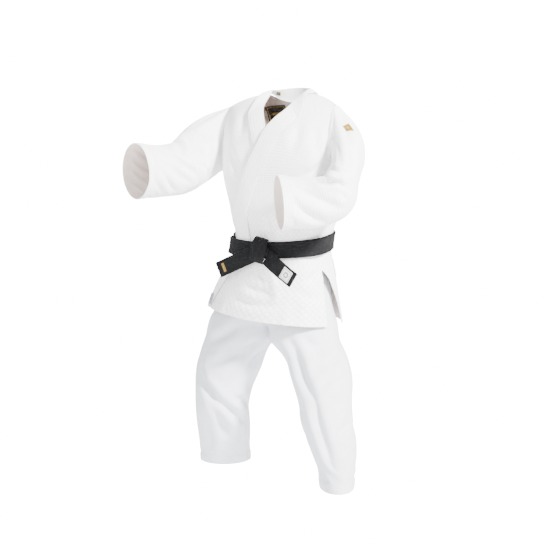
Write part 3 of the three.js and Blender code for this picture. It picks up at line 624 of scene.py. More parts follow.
def shell(name, grid, normal, closed, thick, skins, body_uv, attribute=None):
    """A closed skin of cloth round a grid of points: outer face, rounded edge and inner face.

    thick is a number or one value for each point; skins are the outer and the inner material.
    """
    rows, columns = grid.shape[:2]
    count = rows * columns
    thick = np.broadcast_to(np.asarray(thick, float), (rows, columns))
    out = grid + normal * thick[..., None]
    middle = (grid + out) / 2
    flat_mid = middle.reshape(-1, 3)
    verts = [out.reshape(-1, 3), grid.reshape(-1, 3)]
    i = np.arange(count).reshape(rows, columns)
    nxt = np.roll(i, -1, 1) if closed else i[:, 1:]
    cur = i if closed else i[:, :-1]
    quads = np.stack([cur[:-1], nxt[:-1], nxt[1:], cur[1:]], -1).reshape(-1, 4)
    a, b, c = (out.reshape(-1, 3)[quads[:, k]] for k in (0, 1, 2))
    facing = np.sum(np.cross(b - a, c - b) * normal.reshape(-1, 3)[quads[:, 0]]) > 0
    if not facing:
        quads = quads[:, ::-1]
    faces = [quads, quads[:, ::-1] + count]
    kinds = [np.zeros(len(quads)), np.ones(len(quads))]
    total = 2 * count
    for loop in loops_of(rows, columns, closed):
        nl = len(loop)
        r, k = np.divmod(loop, columns)
        inner_r = np.clip(r, 1, rows - 2)
        inner_k = k if closed else np.clip(k, 1, columns - 2)
        away = unit(flat_mid[loop] - middle[inner_r, inner_k])
        rim = flat_mid[loop] + away * thick[r, k][:, None] * 0.45
        verts.append(rim)
        m = total + np.arange(nl)
        n0, n1 = loop, np.roll(loop, -1)
        m0, m1 = m, np.roll(m, -1)
        strip = np.concatenate([np.stack([n1, n0, m0, m1], -1),
                                np.stack([m1, m0, n0 + count, n1 + count], -1)])
        if not facing:
            strip = strip[:, ::-1]
        faces.append(strip)
        kinds.append(np.zeros(len(strip)))
        total += nl
    verts, faces, kinds = np.concatenate(verts), np.concatenate(faces), np.concatenate(kinds)
    mesh = bpy.data.meshes.new(name)
    mesh.from_pydata((verts / 1000).tolist(), [], faces.tolist())
    for skin in skins:
        mesh.materials.append(materials[skin])
    mesh.polygons.foreach_set("material_index", kinds.astype(np.int32) * (len(skins) - 1))
    mesh.polygons.foreach_set("use_smooth", np.ones(len(faces), bool))
    uv = body_uv.reshape(-1, 2)
    where = np.concatenate([uv, uv] + [uv[l] for l in loops_of(rows, columns, closed)])
    corner = where[faces.ravel()]
    if closed:
        width = uv[:, 0].max() * columns / (columns - 1)
        quad = corner.reshape(-1, 4, 2)
        wraps = (quad[..., 0].max(1) - quad[..., 0].min(1)) > width / 2
        fix = quad[wraps]
        fix[..., 0] = np.where(fix[..., 0] < width / 2, fix[..., 0] + width, fix[..., 0])
        quad[wraps] = fix
        corner = quad.reshape(-1, 2)
    layer = mesh.uv_layers.new(name="cloth")
    layer.data.foreach_set("uv", corner.ravel())
    if attribute is not None:
        flat = attribute.reshape(-1)
        full = np.concatenate([flat, flat * 0.3] + [flat[l] for l in loops_of(rows, columns, closed)])
        mesh.attributes.new("seam", "FLOAT", "POINT").data.foreach_set("value", full.astype(np.float32))
    mesh.update()
    mesh.validate()
    piece = bpy.data.objects.new(name, mesh)
    bpy.context.collection.objects.link(piece)
    return piece


def run_uv(grid):
    """Distance across and along the cloth in metres, from its mean spacing."""
    du = np.linalg.norm(np.diff(grid, axis=1), axis=-1).mean(0)
    dv = np.linalg.norm(np.diff(grid, axis=0), axis=-1).mean(1)
    u = np.concatenate([[0], np.cumsum(du)]) / 1000
    v = np.concatenate([[0], np.cumsum(dv)]) / 1000
    return np.stack(np.meshgrid(u, v), -1)


def edge_distance(grid, columns=True, rows=True):
    """Distance in millimetres from each point to the nearest chosen edge of the grid."""
    uv = run_uv(grid) * 1000
    far = np.full(grid.shape[:2], 1e9)
    if columns:
        far = np.minimum(far, np.minimum(uv[..., 0], uv[..., 0].max() - uv[..., 0]))
    if rows:
        far = np.minimum(far, np.minimum(uv[..., 1], uv[..., 1].max() - uv[..., 1]))
    return far


# ------------------------------------------------------------------ shader groups

class Net:
    """A small helper to write node trees as sums."""

    def __init__(self, tree):
        self.tree = tree

    def node(self, kind, inputs=None, **props):
        made = self.tree.nodes.new(kind)
        for key, value in props.items():
            setattr(made, key, value)
        for key, value in (inputs or {}).items():
            self.feed(made.inputs[key], value)
        return made

    def feed(self, socket, value):
        if isinstance(value, bpy.types.NodeSocket):
            self.tree.links.new(value, socket)
        else:
            socket.default_value = value

    def math(self, operation, a, b=0.0, c=0.0, clamp=False):
        made = self.node("ShaderNodeMath", operation=operation, use_clamp=clamp)
        for k, value in enumerate((a, b, c)):
            self.feed(made.inputs[k], value)
        return made.outputs[0]

    def blend(self, amount, a, b):
        made = self.node("ShaderNodeMix", data_type="RGBA")
        for key, value in ((0, amount), (6, a), (7, b)):
            self.feed(made.inputs[key], value)
        return made.outputs[2]

    def noise(self, vector, scale, detail=2.0, rough=0.5):
        made = self.node("ShaderNodeTexNoise", {"Vector": vector, "Scale": scale, "Detail": detail,
                                                "Roughness": rough})
        return made.outputs[0]


def new_group(name, ins, outs):
    tree = bpy.data.node_groups.new(name, "ShaderNodeTree")
    for label, kind, value in ins:
        made = tree.interface.new_socket(name=label, in_out="INPUT", socket_type=kind)
        if value is not None:
            made.default_value = value
    for label, kind in outs:
        tree.interface.new_socket(name=label, in_out="OUTPUT", socket_type=kind)
    net = Net(tree)
    return tree, net, net.node("NodeGroupInput").outputs, net.node("NodeGroupOutput").inputs


VEC, VAL = "NodeSocketVector", "NodeSocketFloat"


def grain_group():
    """Rice-grain weave: short raised floats in staggered rows; Gap is painted shade between the floats."""
    tree, net, i, o = new_group("Rice weave", [("Vector", VEC, None), ("Pitch", VAL, 0.004)],
                                [("Height", VAL), ("Gap", VAL)])
    split = net.node("ShaderNodeSeparateXYZ", {0: i["Vector"]}).outputs
    x = net.math("DIVIDE", split[0], i["Pitch"])
    y = net.math("DIVIDE", split[1], net.math("MULTIPLY", i["Pitch"], 1.35))
    row = net.math("FLOOR", y)
    odd = net.math("MODULO", row, 2.0)
    fx = net.math("SUBTRACT", net.math("FRACT", net.math("ADD", x, net.math("MULTIPLY", odd, 0.5))), 0.5)
    fy = net.math("SUBTRACT", net.math("FRACT", y), 0.5)
    lean = net.math("ADD", fx, net.math("MULTIPLY", fy, 0.25))
    r = net.math("ADD", net.math("POWER", net.math("DIVIDE", lean, 0.42), 2.0),
                 net.math("POWER", net.math("DIVIDE", fy, 0.48), 2.0))
    height = net.math("SQRT", net.math("MAXIMUM", net.math("SUBTRACT", 1.0, r), 0.0))
    net.feed(o["Height"], height)
    net.feed(o["Gap"], net.math("SUBTRACT", 1.0, height, clamp=True))
    return tree


def diamond_group():
    """Diamond weave: a lattice of raised lines round small lozenges; Gap is painted shade in the hollows."""
    tree, net, i, o = new_group("Diamond weave", [("Vector", VEC, None), ("Pitch", VAL, 0.012)],
                                [("Height", VAL), ("Gap", VAL)])
    split = net.node("ShaderNodeSeparateXYZ", {0: i["Vector"]}).outputs
    x = net.math("DIVIDE", split[0], i["Pitch"])
    y = net.math("DIVIDE", split[1], net.math("MULTIPLY", i["Pitch"], 1.5))
    lines = []
    for op in ("ADD", "SUBTRACT"):
        f = net.math("ABSOLUTE", net.math("SUBTRACT", net.math("FRACT", net.math(op, x, y)), 0.5))
        lines.append(net.math("MULTIPLY", f, 2.0))
    valley = net.math("MAXIMUM", lines[0], lines[1])
    ridge = net.math("POWER", valley, 3.0)
    net.feed(o["Height"], net.math("SUBTRACT", 1.0, ridge))
    net.feed(o["Gap"], ridge)
    return tree


def drill_group():
    """Drill: fine steep ribs of twill; Gap is painted shade between the ribs."""
    tree, net, i, o = new_group("Drill weave", [("Vector", VEC, None), ("Pitch", VAL, 0.0016)],
                                [("Height", VAL), ("Gap", VAL)])
    split = net.node("ShaderNodeSeparateXYZ", {0: i["Vector"]}).outputs
    lean = net.math("ADD", net.math("MULTIPLY", split[0], 1.0), net.math("MULTIPLY", split[1], 0.55))
    wave = net.math("SINE", net.math("MULTIPLY", net.math("DIVIDE", lean, i["Pitch"]), 6.2832))
    height = net.math("MULTIPLY_ADD", wave, 0.5, 0.5)
    net.feed(o["Height"], height)
    net.feed(o["Gap"], net.math("SUBTRACT", 1.0, height))
    return tree


def wear_group():
    """Slow changes of tone from washing and handling, and fine lint, from Object coordinates."""
    tree, net, i, o = new_group("Washed cotton", [("Vector", VEC, None), ("Strength", VAL, 1.0)],
                                [("Tone", VAL), ("Rumple", VAL)])
    slow = net.noise(i["Vector"], 7.0, 3.0, 0.55)
    mid = net.noise(i["Vector"], 34.0, 3.0, 0.6)
    fine = net.noise(i["Vector"], 240.0, 2.0, 0.6)
    mix1 = net.math("MULTIPLY_ADD", slow, 0.5, net.math("MULTIPLY", mid, 0.3))
    both = net.math("MULTIPLY_ADD", fine, 0.2, mix1)
    net.feed(o["Tone"], net.math("MULTIPLY", net.math("SUBTRACT", both, 0.5), i["Strength"]))
    net.feed(o["Rumple"], net.math("MULTIPLY_ADD", mid, 0.7, net.math("MULTIPLY", slow, 0.5)))
    return tree


def seam_group():
    """Pucker and shade beside a line of stitching; Mask is 1 on the seam and 0 away from it."""
    tree, net, i, o = new_group("Seam pucker", [("Vector", VEC, None), ("Mask", VAL, 0.0)],
                                [("Height", VAL), ("Shade", VAL)])
    cell = net.noise(i["Vector"], 95.0, 1.5, 0.4)
    ripple = net.math("MULTIPLY", net.math("SUBTRACT", cell, 0.5), i["Mask"])
    net.feed(o["Height"], ripple)
    net.feed(o["Shade"], net.math("MULTIPLY", net.math("POWER", i["Mask"], 2.0), 0.16))
    return tree


GROUPS = {"rice": grain_group(), "diamond": diamond_group(), "drill": drill_group()}
WASHED, PUCKER = wear_group(), seam_group()


def cotton(name, weave, pitch, colour, shade, depth, rough=0.86, sheen=0.25, tone=0.10):
    """A woven cotton: weave relief, washed tone, seam pucker, soft sheen; the base colour holds painted shade
    in the weave's gaps and beside seams.
    """
    made = bpy.data.materials.new(name)
    made.use_nodes = True
    tree = made.node_tree
    tree.nodes.clear()
    net = Net(tree)
    uv = net.node("ShaderNodeUVMap", uv_map="cloth").outputs[0]
    where = net.node("ShaderNodeTexCoord").outputs["Object"]
    cloth = net.node("ShaderNodeGroup", node_tree=GROUPS[weave])
    net.feed(cloth.inputs["Vector"], uv)
    net.feed(cloth.inputs["Pitch"], pitch)
    washed = net.node("ShaderNodeGroup", node_tree=WASHED)
    net.feed(washed.inputs["Vector"], where)
    net.feed(washed.inputs["Strength"], 1.0)
    seam = net.node("ShaderNodeAttribute", attribute_name="seam").outputs["Fac"]
    pucker = net.node("ShaderNodeGroup", node_tree=PUCKER)
    net.feed(pucker.inputs["Vector"], where)
    net.feed(pucker.inputs["Mask"], seam)
    # Painted shade: the base colour darkens toward the shade colour in the weave's gaps and beside seams; the
    # washed tone adds real random tone.
    dark = net.math("MULTIPLY_ADD", cloth.outputs["Gap"], 0.55,
                    net.math("MULTIPLY", washed.outputs["Tone"], tone * 10))
    dark = net.math("ADD", dark, pucker.outputs["Shade"], clamp=True)
    base = net.blend(dark, (*colour, 1), (*shade, 1))
    roughness = net.math("MULTIPLY_ADD", washed.outputs["Rumple"], 0.1, rough - 0.05)
    height = net.math("MULTIPLY", cloth.outputs["Height"], depth)
    height = net.math("MULTIPLY_ADD", washed.outputs["Rumple"], 0.0016, height)
    height = net.math("MULTIPLY_ADD", pucker.outputs["Height"], 0.0035, height)
    bump = net.node("ShaderNodeBump", {"Height": height, "Strength": 0.9, "Distance": 1.0})
    shader = net.node("ShaderNodeBsdfPrincipled", {"Base Color": base, "Roughness": roughness,
                                                   "Normal": bump.outputs[0], "Sheen Weight": sheen,
                                                   "Sheen Roughness": 0.45, "Specular IOR Level": 0.25})
    out = net.node("ShaderNodeOutputMaterial")
    tree.links.new(shader.outputs[0], out.inputs[0])
    materials[name] = made
    return made


# Spacing of the belt's stitch rows and of its cross ribs, metres.
BELT_ROW, BELT_RIB = 0.0044, 0.0013


def belt_cotton(name):
    """Black belt: fine cross ribs and rows of stitching pressed in along its length."""
    made = bpy.data.materials.new(name)
    made.use_nodes = True
    tree = made.node_tree
    tree.nodes.clear()
    net = Net(tree)
    uv = net.node("ShaderNodeUVMap", uv_map="cloth").outputs[0]
    where = net.node("ShaderNodeTexCoord").outputs["Object"]
    split = net.node("ShaderNodeSeparateXYZ", {0: uv}).outputs
    rib = net.math("SINE", net.math("MULTIPLY", split[0], 6.2832 / BELT_RIB))
    row = net.math("FRACT", net.math("DIVIDE", split[1], BELT_ROW))
    row = net.math("ABSOLUTE", net.math("SUBTRACT", row, 0.5))
    groove = net.math("SUBTRACT", 1.0, net.math("MULTIPLY", row, 7.0), clamp=True)
    stitch = net.math("GREATER_THAN", net.math("FRACT", net.math("DIVIDE", split[0], 0.003)), 0.3)
    thread = net.math("MULTIPLY", groove, stitch)
    washed = net.node("ShaderNodeGroup", node_tree=WASHED)
    net.feed(washed.inputs["Vector"], where)
    net.feed(washed.inputs["Strength"], 1.0)
    faded = net.math("MULTIPLY_ADD", washed.outputs["Tone"], 2.0, 0.3)
    tone = net.math("MULTIPLY_ADD", thread, 0.5, faded, clamp=True)
    base = net.blend(tone, (0.0006, 0.0006, 0.0008, 1), (0.0055, 0.0056, 0.0066, 1))
    height = net.math("MULTIPLY_ADD", rib, 0.00007, net.math("MULTIPLY", groove, -0.0006))
    height = net.math("MULTIPLY_ADD", thread, 0.0004, height)
    bump = net.node("ShaderNodeBump", {"Height": height, "Strength": 1.0, "Distance": 1.0})
    shader = net.node("ShaderNodeBsdfPrincipled", {
        "Base Color": base, "Normal": bump.outputs[0], "Sheen Weight": 0.02, "Sheen Roughness": 0.4,
        "Roughness": net.math("MULTIPLY_ADD", washed.outputs["Rumple"], 0.12, 0.55),
        "Specular IOR Level": 0.12})
    out = net.node("ShaderNodeOutputMaterial")
    tree.links.new(shader.outputs[0], out.inputs[0])
    materials[name] = made


def satin(name, colour, mark, pattern):
    """Woven label: satin ground with a plain border and a generic mark; u and v run 0 to 1."""
    made = bpy.data.materials.new(name)
    made.use_nodes = True
    tree = made.node_tree
    tree.nodes.clear()
    net = Net(tree)
    uv = net.node("ShaderNodeUVMap", uv_map="cloth").outputs[0]
    split = net.node("ShaderNodeSeparateXYZ", {0: uv}).outputs
    x = net.math("ABSOLUTE", net.math("SUBTRACT", split[0], 0.5))
    y = net.math("ABSOLUTE", net.math("SUBTRACT", split[1], 0.5))
    edge = net.math("MAXIMUM", x, y)
    frame_ = net.math("MULTIPLY", net.math("GREATER_THAN", edge, 0.4), net.math("LESS_THAN", edge, 0.44))
    if pattern == "ring":
        r = net.math("SQRT", net.math("ADD", net.math("POWER", x, 2.0), net.math("POWER", y, 2.0)))
        figure = net.math("MULTIPLY", net.math("LESS_THAN", r, 0.24), net.math("GREATER_THAN", r, 0.15))
    elif pattern == "bars":
        figure = net.math("MULTIPLY", net.math("LESS_THAN", y, 0.07), net.math("LESS_THAN", x, 0.26))
    else:
        figure = net.math("LESS_THAN", net.math("ADD", x, y), 0.22)
    mask = net.math("MAXIMUM", frame_, figure)
    thread = net.math("SINE", net.math("MULTIPLY", net.math("ADD", split[0], split[1]), 330.0))
    base = net.blend(mask, (*colour, 1), (*mark, 1))
    height = net.math("MULTIPLY_ADD", mask, 0.0004, net.math("MULTIPLY", thread, 0.00006))
    bump = net.node("ShaderNodeBump", {"Height": height, "Strength": 0.8, "Distance": 1.0})
    shader = net.node("ShaderNodeBsdfPrincipled", {
        "Base Color": base, "Normal": bump.outputs[0], "Sheen Weight": 0.1,
        "Roughness": net.math("MULTIPLY_ADD", mask, 0.15, 0.42)})
    out = net.node("ShaderNodeOutputMaterial")
    tree.links.new(shader.outputs[0], out.inputs[0])
    materials[name] = made


cotton("jacket_cloth", "rice", 0.0052, (0.94, 0.935, 0.925), (0.74, 0.73, 0.735), 0.0010)
cotton("skirt_cloth", "diamond", 0.0125, (0.90, 0.89, 0.885), (0.68, 0.66, 0.66), 0.0011)
# Painted shade: the trousers' white cotton gets a darker grey-blue base than the jacket.
cotton("trouser_cloth", "drill", 0.0024, (0.72, 0.735, 0.785), (0.44, 0.45, 0.51), 0.00025, sheen=0.2)
cotton("band_cloth", "drill", 0.0022, (0.89, 0.885, 0.875), (0.68, 0.67, 0.67), 0.00015)
# Inner faces: painted shade with a painted warm reflection, darker and pinker than the outer cloth.
cotton("jacket_inside_painted_shade", "drill", 0.0026, (0.83, 0.735, 0.68), (0.60, 0.50, 0.46), 0.0002)
cotton("trouser_inside_painted_shade", "drill", 0.0019, (0.74, 0.70, 0.69), (0.55, 0.51, 0.51), 0.00012)
cotton("thread", "drill", 0.0008, (0.86, 0.855, 0.845), (0.66, 0.65, 0.65), 0.00005)
belt_cotton("belt_cloth")
satin("label_black", (0.002, 0.002, 0.0024), (0.30, 0.19, 0.03), "bars")
satin("label_white", (0.70, 0.68, 0.68), (0.012, 0.014, 0.03), "ring")
satin("label_hem", (0.33, 0.30, 0.40), (0.22, 0.04, 0.07), "bars")
satin("gold_mark", (0.17, 0.095, 0.006), (0.34, 0.21, 0.02), "diamond")

# ------------------------------------------------------------------ the cloth layers

left_front = Garment("left_front", front_grid(1, 66), False, (CHEST_X, 0, -300))
right_front = Garment("right_front", front_grid(-1, 58), False, (CHEST_X, 0, -300))
back = Garment("back", back_grid(92), False, (CHEST_X, 0, -300))
SLEEVE_ROWS = np.linspace(0, 1, 124) ** 0.92


def sleeve_grid(arm):
    s = np.arange(92)[None, :] / 92
    return sleeve_point(arm, s, SLEEVE_ROWS[:, None], 0.0)


TROUSER_ROWS = np.concatenate([np.linspace(TROUSER_TOP, -600, 40), np.linspace(-600, SEAT_END, 26)[1:],
                               np.linspace(SEAT_END, TROUSER_HEM_Z, 86)[1:]])
SEAT_ROWS = 40 + 25
sleeves = {w: Garment(w + "_sleeve", sleeve_grid(w), True) for w in ARMS}
legs = {w: Garment(w + "_leg", trouser_point(w, np.linspace(0, 1, 92)[None, :], TROUSER_ROWS[:, None], 0.0),
                   False, (MIDDLE + LEGS[w][0] * 120, -20, -800)) for w in LEGS}
for leg in legs.values():
    middle = leg.grid.mean(1, keepdims=True)
    n = normals_of(leg.grid, False)
    leg.normal = n if np.sum(n[SEAT_ROWS:] * (leg.grid - middle)[SEAT_ROWS:]) > 0 else -n


def ties(g, edge_hold, reach=18.0, columns=True, rows=True):
    far = edge_distance(g.grid, columns, rows)
    g.hold = np.maximum(g.hold, edge_hold * np.exp(-far / reach))
    g.slack = g.slack * (1 - 0.9 * np.exp(-far / (reach * 1.4)))


# Folds by layer: a path on the cloth, then the width and depth of the crease, both scaled below.
FOLD_WIDTH, FOLD_DEPTH = 1.5, 3.2
CREASES = {
    "left_sleeve": [
        ([(162, -176, -224), (199, -177, -232), (231, -168, -229), (254, -153, -248)], 5, 5.5),
        ([(188, -85, -124), (154, -52, -155)], 5, 3.0),
        ([(146, -222, -251), (197, -203, -275), (235, -170, -300)], 8, 3.0),
        ([(200, -147, -197), (236, -159, -208), (256, -138, -202)], 5, 3.0),
        ([(241, -170, -256), (254, -146, -284)], 5, 2.5),
        ([(133, -256, -282), (166, -231, -315), (201, -181, -336)], 7, 2.2),
        ([(196, -43, -79), (241, -93, -135), (260, -120, -189)], 8, 1.8),
    ],
    "right_sleeve": [
        ([(-245, -178, -105), (-201, -206, -155), (-191, -191, -212), (-223, -177, -262)], 5, 5.0),
        ([(-246, -283, -146), (-222, -268, -166), (-207, -250, -186), (-194, -207, -217)], 5, 4.2),
        ([(-232, -320, -196), (-228, -301, -227), (-234, -266, -259)], 5, 3.2),
        ([(-228, -100, -92), (-213, -97, -121), (-202, -99, -156)], 5, 2.6),
        ([(-261, -205, -118), (-219, -242, -149), (-208, -249, -177)], 6, 2.2),
        ([(-202, -139, -225), (-189, -177, -195), (-198, -150, -150)], 5, 2.6),
        ([(-250, -358, -176), (-244, -353, -217), (-250, -318, -260)], 6, 1.8),
    ],
    "left_front": [
        ([(138, -71, -185), (122, -101, -210), (93, -118, -221)], 7, 2.5),
        ([(80, -94, -79), (77, -113, -121), (65, -125, -154)], 9, 1.8),
        ([(126, -72, -93), (126, -85, -135), (131, -88, -171)], 7, 2.0),
        ([(-22, -129, -311), (-5, -125, -353), (4, -119, -399)], 5, 2.2),
        ([(33, -124, -332), (42, -117, -364), (37, -113, -398)], 5, 1.8),
        ([(-92, -135, -531), (-34, -144, -548), (37, -133, -542)], 6, 2.6),
        ([(-125, -135, -571), (-44, -150, -588), (46, -137, -590)], 7, 2.2),
        ([(93, -103, -528), (111, -77, -512), (123, -44, -492)], 6, 2.4),
        ([(-20, -133, -496), (1, -137, -523), (4, -143, -563)], 6, 2.0),
        ([(80, -116, -550), (108, -97, -568), (133, -56, -571)], 7, 1.6),
    ],
    "right_front": [
        ([(-145, -103, -150), (-118, -116, -193), (-108, -116, -241)], 8, 2.2),
        ([(-142, -81, -339), (-134, -78, -377)], 5, 2.0),
        ([(-109, -73, -35), (-101, -98, -78), (-105, -109, -115)], 9, 1.6),
        ([(-160, -95, -222), (-133, -108, -239), (-101, -117, -247)], 6, 1.8),
    ],
    "right_leg": [
        ([(-222, -93, -722), (-161, -104, -692), (-110, -92, -657)], 8, 4.0),
        ([(-236, -106, -796), (-175, -110, -773), (-120, -87, -742)], 8, 3.8),
        ([(-246, -106, -815), (-197, -119, -863), (-157, -94, -912), (-142, -12, -975)], 7, 5.5),
        ([(-253, -100, -811), (-208, -119, -864), (-183, -103, -931), (-177, -43, -1034)], 8, 3.5),
        ([(-83, -44, -739), (-96, -57, -774), (-112, -77, -803)], 7, 3.5),
        ([(-63, -43, -690), (-80, -61, -713), (-108, -84, -724)], 7, 3.0),
        ([(-136, -10, -913), (-131, -67, -887), (-153, -100, -874)], 6, 2.8),
        ([(-234, -99, -955), (-231, -76, -1008), (-236, -56, -1062)], 7, 2.0),
    ],
    "left_leg": [
        ([(45, -110, -679), (80, -116, -722), (114, -138, -785), (165, -158, -851)], 8, 4.5),
        ([(161, -156, -841), (176, -168, -899), (207, -174, -974), (230, -181, -1044)], 8, 3.6),
        ([(197, -96, -779), (184, -122, -793), (172, -142, -813)], 6, 2.6),
        ([(115, -147, -869), (134, -159, -906), (149, -163, -949)], 7, 3.0),
        ([(179, -4, -731), (179, -72, -744), (160, -110, -757)], 8, 2.4),
        ([(240, -94, -907), (234, -134, -928), (221, -158, -942)], 7, 2.2),
        ([(87, -104, -683), (120, -93, -702), (148, -74, -717)], 8, 2.2),
    ],
}

for g in (left_front, right_front, back):
    g.hold[:] = 0.32
    g.slack[:] = 0.30
    g.outer[:], g.inner[:] = 6.0, 4.0
    ties(g, 1.0, 16.0)
    z = g.grid[..., 2]
    belt = np.exp(-((z - BELT_Z) / 30) ** 2)
    g.hold = np.clip(g.hold + belt, 0, 1)
    skirt = smooth(-z, -BELT_Z + 20, -BELT_Z + 90)
    g.hold = np.where(z < BELT_Z, mix(1.0, 0.12, skirt), g.hold)
    g.slack = np.where(z < BELT_Z, 0.35 * skirt, g.slack)
left_front.inner[:], left_front.outer[:] = 1.5, 6.0
right_front.inner[:], right_front.outer[:] = 4.0, 1.5
for word, g in sleeves.items():
    root, (e0, e1) = ARMS[word][3], ARMS[word][2]
    t = SLEEVE_ROWS[:, None] + 0 * g.hold
    g.hold[:] = 0.10
    g.hold = np.maximum(g.hold, np.exp(-t / 0.035))
    g.hold = np.maximum(g.hold, 0.75 * np.exp(-(1 - t) / 0.05))
    elbow = np.exp(-((t - (e0 + e1) / 2) / 0.16) ** 2)
    g.slack = 0.35 + 0.6 * elbow
    g.inner[:], g.outer[:] = 9.0, 8.0
for word, g in legs.items():
    z = g.grid[..., 2]
    g.hold[:] = 0.12
    far = edge_distance(g.grid, True, False)
    g.hold = np.maximum(g.hold, np.exp(-far / 8))
    g.hold = np.maximum(g.hold, smooth(z, -690, -600))
    g.hold = np.maximum(g.hold, 0.7 * np.exp(-(z - TROUSER_HEM_Z) / 20))
    knee = np.exp(-((z + 880) / 90) ** 2)
    g.slack = 0.3 + 0.6 * knee
    g.inner[:] = 9.0
    g.outer = 9.0 - 8.0 * smooth(z, -660, -630)

garments = [left_front, right_front, back, *sleeves.values(), *legs.values()]
for g in garments:
    for path, width, depth in CREASES.get(g.name, ()):
        g.crease(path, width * FOLD_WIDTH, depth * FOLD_DEPTH)
settle(garments)
for g in legs.values():
    # The seat keeps clear of the skirt that hangs over it.
    g.grid = g.grid - g.normal * (3.0 * smooth(g.grid[..., 2], -655, -615))[..., None]
for g in garments:
    g.grid = blur(g.grid, g.closed, 2)
    turned = normals_of(g.grid, g.closed)
    g.normal = turned if np.sum(turned * g.normal) > 0 else -turned

# ------------------------------------------------------------------ pieces of the uniform


def set_normals(piece, grid, normal, thick, closed):
    rows, columns = grid.shape[:2]
    thick = np.broadcast_to(np.asarray(thick, float), (rows, columns))
    out = grid + normal * thick[..., None]
    face = normals_of(out, closed)
    face = face if np.sum(face * normal) > 0 else -face
    count = len(piece.data.vertices)
    co = np.empty(count * 3)
    piece.data.vertices.foreach_get("co", co)
    rim = []
    for loop in loops_of(rows, columns, closed):
        r, k = np.divmod(loop, columns)
        inner = ((grid + out) / 2)[np.clip(r, 1, rows - 2), k if closed else np.clip(k, 1, columns - 2)]
        rim.append(unit(((grid + out) / 2)[r, k] - inner))
    full = np.concatenate([face.reshape(-1, 3), -normal.reshape(-1, 3), *rim])
    piece.data.normals_split_custom_set_from_vertices(full[:count].tolist())


def make(name, g, r0, r1, thick, skins, nodes, ride=None, bend=None, mask=None):
    """One piece of cloth cut from the rows r0 to r1 of a layer."""
    grid, normal = g.grid[r0:r1], g.normal[r0:r1]
    thick = np.broadcast_to(np.asarray(thick, float), g.grid.shape[:2])[r0:r1]
    mask = None if mask is None else mask[r0:r1]
    uv = run_uv(g.grid)[r0:r1]
    piece = shell(name, grid, normal, g.closed, thick, skins, uv, mask)
    set_normals(piece, grid, normal, thick, g.closed)
    return finish_piece(piece, nodes, ride, bend)


def finish_piece(piece, nodes, ride=None, bend=None):
    if bend:
        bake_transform(piece, *bend)
    else:
        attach(piece, ride)
    if nodes:
        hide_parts(*nodes)
    return piece


def near(distance, reach=6.0):
    return np.exp(-np.maximum(distance, 0) / reach)


UP = len(UPPER_ROWS)
# Each pair is the outer skin, then the inner skin with painted shade and a painted warm reflection.
JACKET = ("jacket_cloth", "jacket_inside_painted_shade")
SKIRT = ("skirt_cloth", "jacket_inside_painted_shade")
TROUSER = ("trouser_cloth", "trouser_inside_painted_shade")


def jacket_piece(g, upper_name, lower_name, upper_nodes, lower_nodes, lower_body, bend):
    rows = run_uv(g.grid)[..., 1] * 1000
    hem = rows.max() - rows
    side = edge_distance(g.grid, True, False)
    seam_row = rows[UP - 1, 0]
    mask = np.clip(near(side) + near(np.abs(rows - seam_row)) + near(np.abs(hem - 26), 5), 0, 1)
    fold_up = 1.3 * (1 - smooth(hem, 24, 28))
    low = smooth(rows, seam_row - 1, seam_row + 1)
    vent = 1.2 * (1 - smooth(side, 16, 19)) * smooth(rows, seam_row + 150, seam_row + 170)
    make(upper_name, g, 0, UP, CLOTH, JACKET, upper_nodes, ride="jacket", mask=mask)
    make(lower_name, g, UP - 1, len(g.grid), CLOTH + 0.5 * low + np.maximum(fold_up, vent), SKIRT,
         lower_nodes, bend=("jacket", lower_body, *bend), mask=mask)


front_bend = ((0, 0, -0.445), (0, 0, -0.482))
back_bend = ((0, 0, -0.402), (0, 0, -0.445))
jacket_piece(left_front, "front_left_cloth", "skirt_left_cloth", ["jacket_front_left"],
             ["waist_front_left", "skirt_front_left"], "skirt_front", front_bend)
jacket_piece(right_front, "front_right_cloth", "skirt_right_cloth", ["jacket_front_right"],
             ["waist_front_right", "skirt_front_right"], "skirt_front", front_bend)
jacket_piece(back, "back_cloth", "skirt_back_cloth", ["jacket_back"], ["waist_back", "skirt_back"],
             "skirt_rear", back_bend)

# The stuffed band: lapels and collar in one, then its ends on the skirt.
across = np.linspace(0, 1, 26)


def band_points(off):
    u = across[None, :]
    up = np.linspace(0, 1, 96)[:, None]
    turns = np.linspace(1, -1, 116)[1:-1, None]
    return np.concatenate([band_on_front(1, u, up, off), collar_point(u, turns, off),
                           band_on_front(-1, u, up[::-1], off)], 0)


class Layer:
    def __init__(self, grid, normal, closed=False):
        self.grid, self.cut, self.normal, self.closed = grid, grid, normal, closed


def quilted(u):
    """Height of the band over its flat thickness: full in the middle, pressed in along four rows."""
    return BAND + 1.1 * (1 - (2 * u - 1) ** 4) + 0.32 * np.cos(2 * np.pi * 5 * u)


band_low = blur(band_points(0.0), False, 6)
band_n = normals_of(band_low, False)
toward = band_points(BAND) - band_points(0.0)
band_n = band_n if np.sum(band_n * toward) > 0 else -band_n
band_layer_ = Layer(band_low, band_n)
band_mask = near(edge_distance(band_low, True, False), 4)
make("lapel_band", band_layer_, 0, len(band_low), quilted(across)[None, :], ("band_cloth", "band_cloth"),
     ["lapel_left", "lapel_right", "collar"], ride="jacket", mask=band_mask)


def skirt_band(sign, off):
    u = across[None, :]
    v = np.linspace(0, 1, 60)[:, None]
    z = mix(BELT_Z - BELT_DIP - 12, hem_at(-228.0 if sign > 0 else 75.0) + 1, v)
    _, half, _, _ = through(TORSO, z)
    a = skirt_edge(sign, z) + sign * np.degrees((LAPEL_WIDTH * u - 6) / half)
    return lower(a, z, (OUTER_LAPEL if sign > 0 else INNER_LAPEL) + off, -1)


